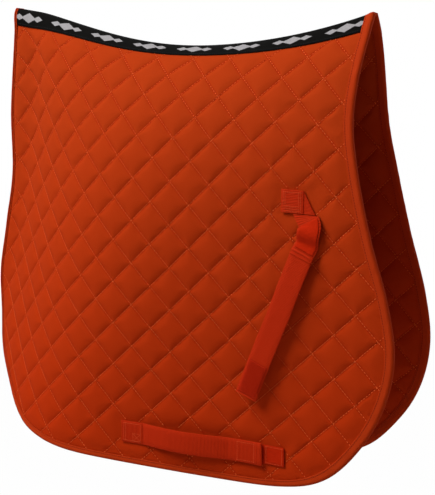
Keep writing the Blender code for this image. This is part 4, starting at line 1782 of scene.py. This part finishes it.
@dataclass
class Ribbon:
    """A strap of webbing or a patch, laid along pattern points (s, t, n) of its underside."""

    name: str
    side: Side
    path: Array
    width: float
    thickness: float
    finish: Finish
    heading: tuple[float, float] | None = None
    ribbed: bool = True
    edge: float = 0.0004
    edge_round: tuple[float, float] = (0.3, 0.12)
    thicken: Array | None = None
    turn: float = 0.012

    def rings(self) -> tuple[Array, Array]:
        """Rings round the ribbon.

        Returns:
            tuple: Rings of pattern points (s, t, n), and their cloth coordinates.
        """
        path = self.path
        run = run_length(path[:, :2])
        ahead = np.gradient(path[:, :2], axis=0)
        if self.heading is not None:
            blend = smooth_step(run / self.turn)[:, None]
            ahead = unit(ahead) * blend + np.array(self.heading)[None, :] * (1 - blend)
        ahead = unit(ahead)
        across = np.stack([-ahead[:, 1], ahead[:, 0]], axis=1)
        half = self.width / 2
        soft = self.edge
        inset, lift = self.edge_round
        wide = np.array([-half, -half + soft * inset, -half + soft, -half * 0.5, 0, half * 0.5,
                         half - soft, half - soft * inset, half])
        high = np.array([0.5, lift, 0.0, 0.0, 0.0, 0.0, 0.0, lift, 0.5])
        ring_wide = np.concatenate([wide, wide[::-1][1:-1]])
        ring_high = np.concatenate([high, 1 - high[::-1][1:-1]])
        extra = np.zeros(len(path)) if self.thicken is None else self.thicken
        thick = self.thickness + extra
        rings = np.empty((len(path), len(ring_wide), 3))
        rings[:, :, :2] = path[:, None, :2] + across[:, None, :] * ring_wide[None, :, None]
        rings[:, :, 2] = path[:, None, 2] + thick[:, None] * ring_high[None, :]
        uv = np.stack(np.meshgrid(run, ring_wide, indexing="ij"), axis=-1)
        return rings, uv

    def build(self) -> bpy.types.Object:
        """Builds the ribbon, with ribs across it if it is webbing.

        Returns:
            bpy.types.Object: The ribbon.
        """
        rings, uv = self.rings()
        made = loft(self.name, DRAPE.points(rings, self.side), self.finish, uv)
        if not self.ribbed:
            return made
        store(made.data, "run", uv[:, :, 0].ravel())
        inner = np.clip((self.width / 2 - np.abs(uv[:, :, 1])) / self.edge, 0, 1)
        store(made.data, "flat", inner.ravel())
        made.name = f"{self.name}_plain"
        return ribs_tree().run(made, self.name, {"Rib pitch": WEB.rib_pitch, "Rib height": WEB.rib_height})


@cache
def ribs_tree() -> GeometryTree:
    """Geometry Nodes tree that raises the webbing's ribs; made once.

    Returns:
        GeometryTree: The tree.
    """
    tree = GeometryTree("webbing_ribs", [("Rib pitch", WEB.rib_pitch), ("Rib height", WEB.rib_height)])
    graph = tree.graph
    turns = tree.stored("run", "FLOAT") / tree.given("Rib pitch")
    wave = (turns * math.pi).maths("SINE").maths("ABSOLUTE") ** WEB.rib_round
    rise = (wave - WEB.rib_middle) * tree.given("Rib height") * tree.stored("flat", "FLOAT")
    moved = graph.node("GeometryNodeSetPosition", {}, {
        "Geometry": tree.given("Geometry"),
        "Offset": graph.scaled(graph.node("GeometryNodeInputNormal"), rise),
    })
    tree.close(moved, Finishes.WEBBING)
    return tree


@dataclass
class HookField:
    """Field of tiny hooks over a patch; wire is its radius as a share of a hook's height."""

    name: str
    side: Side
    path: Array
    width: float
    level: float
    pitch: float = 0.0016
    height: float = 0.0011
    wire: float = 0.13

    def build(self) -> bpy.types.Object:
        """Builds the hooks.

        Returns:
            bpy.types.Object: The hooks as one mesh.
        """
        middle = resampled(self.path, self.pitch)
        ahead = unit(np.gradient(middle[:, :2], axis=0))
        across = np.stack([-ahead[:, 1], ahead[:, 0]], axis=1)
        wide = np.linspace(-self.width / 2, self.width / 2, round(self.width / self.pitch) + 1)
        spots = np.empty((len(middle) - 2, len(wide), 3))
        spots[:, :, :2] = middle[1:-1, None, :2] + across[1:-1, None, :] * wide[None, :, None]
        spots[:, :, 2] = middle[1:-1, None, 2] + self.level
        flat = spots.reshape(-1, 3)
        place, out, along = DRAPE.frame(flat[:, 0], flat[:, 1], self.side)
        mesh = bpy.data.meshes.new("hook_places")
        mesh.from_pydata((place + out * flat[:, 2:3]).tolist(), [], [])
        store(mesh, "cloth_out", out)
        store(mesh, "cloth_along", along)
        sizes = {"Hook height": self.height, "Wire": self.wire}
        return hooks_tree().run(linked("hook_places", mesh), self.name, sizes)


@cache
def hooks_tree() -> GeometryTree:
    """Geometry Nodes tree that sets a bent hook at each point; made once.

    Returns:
        GeometryTree: The tree.
    """
    tree = GeometryTree("hook_tape", [("Hook height", HookField.height), ("Wire", HookField.wire)])
    graph = tree.graph
    bend = graph.node("GeometryNodeCurvePrimitiveBezierSegment", {}, {
        "Resolution": 4, "Start": (0.0, 0.0, 0.0), "Start Handle": (0.0, 0.0, 1.2),
        "End Handle": (0.75, 0.0, 1.2), "End": (0.6, 0.0, 0.45),
    })
    wire = graph.node("GeometryNodeCurvePrimitiveCircle", {}, {
        "Resolution": 3, "Radius": tree.given("Wire"),
    })
    hook = graph.node("GeometryNodeCurveToMesh", {}, {
        "Curve": bend, "Profile Curve": wire, "Fill Caps": True,
    })
    turned = graph.node("FunctionNodeAxesToRotation", {"primary_axis": "Z", "secondary_axis": "X"},
                        {0: tree.stored("cloth_out"), 1: tree.stored("cloth_along")})
    placed = graph.node("GeometryNodeInstanceOnPoints", {}, {
        "Points": tree.given("Geometry"), "Instance": hook, "Rotation": turned,
        "Scale": tree.given("Hook height"),
    })
    tree.close(placed, Finishes.HOOK)
    return tree


@dataclass
class Strap:
    """What the two kinds of strap on a flap share."""

    KIND = "strap"

    side: Side

    @property
    def flap(self) -> str:
        """Body of the flap that the strap is sewn to."""
        return f"{self.side.word}_flap"

    @property
    def tab(self) -> str:
        """Body of the strap's free part."""
        return self.name("tab")

    def name(self, part: str) -> str:
        """Name of one of the strap's pieces, nodes or bodies."""
        return f"{self.side.word}_{self.KIND}_{part}"

    def webbing(self, part: str, line: Array, **shape: object) -> bpy.types.Object:
        """Builds a stretch of webbing over the pattern points (s, t, n) of its underside."""
        return Ribbon(self.name(part), self.side, line, WEB.width, WEB.thickness, Finishes.WEBBING,
                      **shape).build()

    def patch(self, part: str, line: Array, share: float, finish: Finish) -> bpy.types.Object:
        """Builds a hook or loop patch, whose thickness is a share of the full one."""
        return Ribbon(self.name(part), self.side, line, WEB.patch_width, WEB.patch * share, finish,
                      ribbed=False).build()

    def thread(self, part: str, pitch: float, length: float) -> Thread:
        """Red thread, with the spacing and the length of its stitches."""
        return Thread(self.name(part), self.side, Finishes.RED_THREAD, pitch, length)


@dataclass
class GirthStrap(Strap):
    """Strap across the lower edge that holds the girth, sewn at its rear, closed at its front."""

    KIND = "girth"

    def _line(self, first: float, last: float, level: Callable[[Array], Array],
              step: float = WEB.step) -> Array:
        """Pattern points (s, t, n) of a stretch of the strap."""
        s = np.linspace(first, last, round((last - first) / step) + 1)
        return np.column_stack([s, GIRTH.row(s), level(s)])

    def _lift(self, s: Array) -> Array:
        """Height of the strap's underside."""
        part = np.clip((s - GIRTH.hinge) / (GIRTH.tab_start - GIRTH.level - GIRTH.hinge), 0, 1)
        return WEB.sewn + (WEB.closed - WEB.sewn) * part + GIRTH.slack * np.sin(math.pi * part)

    def dress(self) -> None:
        """Builds the sewn end, the strap, its patches and their stitching."""
        sewn = self._line(GIRTH.rear, GIRTH.hinge - PAD.gap, self._lift)
        JOINED.rides(self.webbing("strap_end", sewn), self.flap, "webbing", self.name("strap_sewn_end"))
        line = self._line(GIRTH.hinge, GIRTH.tip, self._lift)
        folded = smooth_step((line[:, 0] - (GIRTH.tip - GIRTH.fold_length)) / GIRTH.fold_turn)
        ending = smooth_step((line[:, 0] - (GIRTH.tip - GIRTH.fold_turn)) / GIRTH.fold_turn)
        fold = GIRTH.fold * folded * (1 - GIRTH.fold_thinned * ending)
        JOINED.rides(self.webbing("webbing", line, thicken=fold), self.tab, "webbing", self.name("strap"))
        low = WEB.closed - PAD.gap - WEB.patch * GIRTH.hook_thickness
        under_tip = self._line(GIRTH.tip - GIRTH.hook, GIRTH.tip - GIRTH.hook_inset,
                               lambda s: np.full_like(s, low), GIRTH.hook_step)
        hooks = self.patch("hooks", under_tip, GIRTH.hook_thickness, Finishes.HOOK)
        JOINED.rides(hooks, self.tab, "hook_and_loop", self.name("hook_patch"))
        on_flap = self._line(GIRTH.tab_start, GIRTH.tab_end, lambda s: np.full_like(s, WEB.sewn),
                             GIRTH.loop_step)
        pile = self.patch("loop", on_flap, 1.0, Finishes.LOOP)
        JOINED.rides(pile, self.flap, "hook_and_loop", self.name("loop_patch"))
        self._sew()

    def _sew(self) -> None:
        """Stitches the sewn end, the loop patch and the strap's tip."""
        top = WEB.sewn + WEB.thickness + WEB.seam_lift
        half = WEB.width / 2 - WEB.seam_side
        thread = self.thread("box_stitch", 0.0016, 0.0013)
        first, last = GIRTH.rear + GIRTH.box_inset, GIRTH.hinge - GIRTH.box_inset
        thread.box(GIRTH.box_corners(first, last, half), top)
        second = first + GIRTH.second_row
        thread.straight((second, GIRTH.row(second) - half), (second, GIRTH.row(second) + half), top)
        low, high = GIRTH.row(last) + half * GIRTH.knot_top, GIRTH.row(last) + half
        start = last - GIRTH.knot
        thread.box([(start, low), (last, low), (last, high), (start, high)], top, crossed=True)
        first, last = GIRTH.tip + GIRTH.loop_seam[0], GIRTH.tab_end - GIRTH.loop_seam[1]
        corners = GIRTH.box_corners(first, last, WEB.patch_width / 2 - GIRTH.loop_seam_side)
        thread.box(corners, WEB.sewn + WEB.patch + WEB.seam_lift)
        JOINED.rides(thread.sew(), self.flap, "webbing")
        thread = self.thread("tip_stitch", 0.0022, 0.0016)
        first, last = GIRTH.tip - GIRTH.hook + GIRTH.tip_seam[0], GIRTH.tip - GIRTH.tip_seam[1]
        thread.box(GIRTH.box_corners(first, last, half), WEB.closed + WEB.thickness + WEB.seam_lift)
        JOINED.rides(thread.sew(), self.tab, "webbing")


@dataclass
class BilletStrap(Strap):
    """Strap that hangs from its sewn end near the front, with a loop and a hook patch."""

    KIND = "billet"

    def _path(self) -> tuple[Array, Array]:
        """Underside of the hanging strap.

        Returns:
            tuple: Fine pattern points (s, t, n), and the drawn points' distances along the strap.
        """
        drawn = BILLET.path()
        level = WEB.sewn + (BILLET.ride - WEB.sewn) * smooth_step(np.arange(len(drawn)) / BILLET.rise)
        rough = np.column_stack([drawn, level])
        fine = smooth_curve(rough, WEB.step)
        run = run_length(fine[:, :2])
        runs = run_length(rough[:, :2])
        runs = runs * run[-1] / runs[-1]
        dip = runs[BILLET.loop[1]] - BILLET.dip_above_loop_end
        rise, above, width = BILLET.hump
        fine[:, 2] += rise * peak(run, dip - above, width)
        fine[:, 2] -= BILLET.dip[0] * peak(run, dip, BILLET.dip[1])
        shift, place, width, start = BILLET.bow
        fine[:, 0] += shift * peak(run, place, width) * smooth_step(run / start)
        rise, below, length = BILLET.hang
        fine[:, 2] += rise * smooth_step((run - dip - below) / length)
        return fine, runs

    def _thicker(self, run: Array, runs: Array) -> Array:
        """How much thicker the strap is at its fold, its loop patch's end and its last seams.

        Args:
            run: Distances along the strap.
            runs: Distances of the drawn points.

        Returns:
            Array: Thickness that is added at each place.
        """
        thickness, length, turn = BILLET.fold
        extra = thickness * smooth_step((run - run[-1] + length) / turn)
        height, width = BILLET.bar
        for shift in BILLET.bars:
            extra = extra + height * peak(run, runs[BILLET.loop[1]] + shift, width)
        depth, width = BILLET.tip_seam
        for place in BILLET.tip_seams:
            extra = extra - depth * peak(run[-1] - run, place, width)
        return extra

    def _end(self) -> None:
        """Builds the sewn end and the wedge of webbing under it."""
        count = BILLET.end_points
        s0, t0 = BILLET.path()[0]
        t = np.linspace(t0 - PAD.gap - BILLET.box, t0 - PAD.gap, count)
        above = WEB.sewn + WEB.thickness * BILLET.end_lift
        line = np.column_stack([np.full(count, BILLET.box_at), t, np.full(count, above)])
        JOINED.rides(self.webbing("strap_end", line), self.flap, "webbing", self.name("strap_sewn_end"))
        lean = np.linspace(BILLET.box_at + BILLET.root_shift, s0, count)
        line = np.column_stack([lean, t, np.full(count, WEB.sewn)])
        root = self.webbing("strap_root", line, heading=(0.0, 1.0), turn=BILLET.root_turn)
        JOINED.rides(root, self.flap, "webbing")

    def _patch(self, kind: str, line: Array, finish: Finish) -> None:
        """Builds a patch on the hanging strap, with its hooks where it is the hook side.

        Args:
            kind: Either loop or hook.
            line: Pattern points of the strap's underside below the patch.
            finish: Finish that it wears.
        """
        line = line + np.array([0.0, 0.0, WEB.thickness + PAD.gap])
        patch = self.patch(kind, line, BILLET.patch_thickness, finish)
        JOINED.rides(patch, self.tab, "hook_and_loop", self.name(f"{kind}_patch"))
        if kind == "hook":
            hooks = HookField(self.name("hook_field"), self.side, line,
                              WEB.patch_width - BILLET.hook_margin, WEB.patch * BILLET.patch_thickness)
            JOINED.rides(hooks.build(), self.tab, "hook_and_loop")

    def dress(self) -> None:
        """Builds the sewn end, the strap, its patches and their stitching."""
        self._end()
        fine, runs = self._path()
        run = run_length(fine[:, :2])
        strap = self.webbing("webbing", fine, heading=(0.0, 1.0), thicken=self._thicker(run, runs))
        JOINED.rides(strap, self.tab, "webbing", self.name("strap"))
        (first, last), (hook_first, hook_last) = BILLET.loop, BILLET.hook
        on_loop = (run >= runs[first]) & (run <= runs[last] - BILLET.loop_trim)
        self._patch("loop", fine[on_loop][::BILLET.patch_spacing], Finishes.LOOP)
        on_hook = (run >= runs[hook_first]) & (run <= runs[hook_last])
        self._patch("hook", fine[on_hook][::BILLET.patch_spacing], Finishes.HOOK)
        self._sew()

    def _sew(self) -> None:
        """Stitches the sewn end: two lines down each side and a dense row at its foot."""
        count = BILLET.seam_points
        t0 = BILLET.path()[0][1]
        top = np.full(count, WEB.sewn + WEB.thickness * (1 + BILLET.end_lift) + BILLET.seam_lift)
        thread = self.thread("box_stitch", 0.0022, 0.0018)
        high, low = t0 - BILLET.box + BILLET.seam_ends[0], t0 - BILLET.seam_ends[1]
        lines = [(shift, high) for shift in BILLET.side_seams]
        lines += [(shift, low - BILLET.foot_length) for shift in np.linspace(*BILLET.foot_seams)]
        for shift, start in lines:
            s = np.full(count, BILLET.box_at + shift)
            thread.line(np.column_stack([s, np.linspace(start, low, count), top]))
        s = BILLET.box_at + np.linspace(BILLET.side_seams[0], BILLET.side_seams[-1], count)
        thread.line(np.column_stack([s, np.full(count, high), top]))
        JOINED.rides(thread.sew(), self.flap, "webbing")


@dataclass(frozen=True)
class Lamp:
    """A soft square lamp; way is how far it is towards the camera, to its right and upwards."""

    name: str
    way: tuple[float, float, float]
    distance: float
    size: float
    power: float
    tint: Colour = (1.0, 1.0, 1.0)


@dataclass
class Studio:
    """Camera, soft lights, pale floor and white surroundings."""

    azimuth: float = 32.30
    elevation: float = 7.66
    distance: float = 1.1968
    lens: float = 86.43
    sensor: float = 36.0
    clip_start: float = 0.01
    aim: tuple[float, float, float] = (-0.0075, 0.0, 0.0164)
    lamps: tuple[Lamp, ...] = (
        Lamp("key", (0.42, -0.82, 0.95), 2.4, 1.4, 61.0),
        Lamp("rim", (-0.35, 1.0, 0.25), 2.4, 1.0, 14.0),
        Lamp("fill", (1.0, -0.5, 0.3), 3.0, 2.0, 2.0, (1.0, 0.72, 0.62)),
    )
    ambient: Colour = (1.0, 0.64, 0.50)
    ambient_strength: float = 0.16
    floor: float = -0.85
    floor_reach: float = 2.6
    floor_colour: Colour = (0.62, 0.62, 0.62)
    floor_glow: float = 0.985

    def _aim(self) -> Vector:
        """Point that the camera looks at."""
        x, y, z = self.aim
        return Vector((x, y, z - DRAPE.ridge_height + PAD.seam_tape_gap + PAD.tape_thickness))

    def _directions(self) -> tuple[Vector, Vector, Vector]:
        """Directions of the camera's picture.

        Returns:
            tuple: Directions to the camera, to its right and upwards.
        """
        a, e = math.radians(self.azimuth), math.radians(self.elevation)
        back = Vector((math.sin(a) * math.cos(e), -math.cos(a) * math.cos(e), math.sin(e)))
        right = Vector((math.cos(a), math.sin(a), 0.0))
        return back, right, back.cross(right)

    def camera(self) -> None:
        """Sets the camera of the photograph."""
        back, _, _ = self._directions()
        data = bpy.data.cameras.new("camera")
        data.sensor_fit = "HORIZONTAL"
        data.sensor_width = self.sensor
        data.lens = self.lens
        data.clip_start = self.clip_start
        made = linked("camera", data)
        made.location = self._aim() + back * self.distance
        made.rotation_euler = back.to_track_quat("Z", "Y").to_euler()
        bpy.context.scene.camera = made

    def _light(self, lamp: Lamp) -> None:
        """Adds a lamp that faces the pad.

        Args:
            lamp: The lamp.
        """
        back, right, up = self._directions()
        towards, sideways, upwards = lamp.way
        way = back * towards + right * sideways + up * upwards
        data = bpy.data.lights.new(lamp.name, "AREA")
        data.shape = "SQUARE"
        data.size = lamp.size
        data.energy = lamp.power
        data.color = lamp.tint
        made = linked(lamp.name, data)
        made.location = self._aim() + way.normalized() * lamp.distance
        made.rotation_euler = way.to_track_quat("Z", "Y").to_euler()

    def lights(self) -> None:
        """Sets the key, rim and fill lamps and the world, which the camera sees white."""
        for lamp in self.lamps:
            self._light(lamp)
        world = bpy.data.worlds.new("world")
        bpy.context.scene.world = world
        world.use_nodes = True
        graph = Graph(world.node_tree)
        seen = graph.node("ShaderNodeLightPath", output="Is Camera Ray")
        white = seen.maths("MAXIMUM", graph.beside(seen, "Is Glossy Ray"))
        white = white.maths("MAXIMUM", graph.beside(seen, "Is Transmission Ray"))
        light = graph.node("ShaderNodeBackground", {}, {
            "Color": (*self.ambient, 1.0), "Strength": self.ambient_strength,
        })
        plain = graph.node("ShaderNodeBackground", {}, {"Color": (1, 1, 1, 1), "Strength": 1.0})
        mixed = graph.node("ShaderNodeMixShader", {}, {0: white, 1: light, 2: plain})
        graph.node("ShaderNodeOutputWorld", {}, {"Surface": mixed})

    def stage(self) -> None:
        """Lays the pale floor, which the camera sees almost white."""
        reach = self.floor_reach
        mesh = bpy.data.meshes.new("floor")
        corners = [(x * reach, y * reach, self.floor) for x, y in ((-1, -1), (1, -1), (1, 1), (-1, 1))]
        mesh.from_pydata(corners, [], [(0, 1, 2, 3)])
        floor = linked("floor", mesh)
        made = bpy.data.materials.new("pale_floor")
        made.use_nodes = True
        graph = Graph(made.node_tree)
        seen = graph.node("ShaderNodeLightPath", output="Is Camera Ray")
        matt = graph.node("ShaderNodeBsdfDiffuse", {}, {"Color": (*self.floor_colour, 1.0)})
        glow = graph.node("ShaderNodeEmission", {}, {"Color": (1, 1, 1, 1), "Strength": 1.0})
        mixed = graph.node("ShaderNodeMixShader", {}, {0: seen * self.floor_glow, 1: matt, 2: glow})
        graph.node("ShaderNodeOutputMaterial", {}, {"Surface": mixed})
        mesh.materials.append(made)

    def build(self) -> None:
        """Builds the whole studio."""
        bpy.context.scene.view_settings.view_transform = "Standard"
        self.camera()
        self.lights()
        self.stage()


def main() -> None:
    """Builds the pad's looks on the frame."""
    logging.basicConfig(level=logging.INFO, format="%(name)s: %(message)s")
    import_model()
    Studio().build()
    panel = QuiltedPanel()
    for side in Side:
        panel.dress(side)
        EdgeBinding().dress(side)
        GirthStrap(side).dress()
        BilletStrap(side).dress()
    SpineTape().dress()


if __name__ == "__main__":
    main()
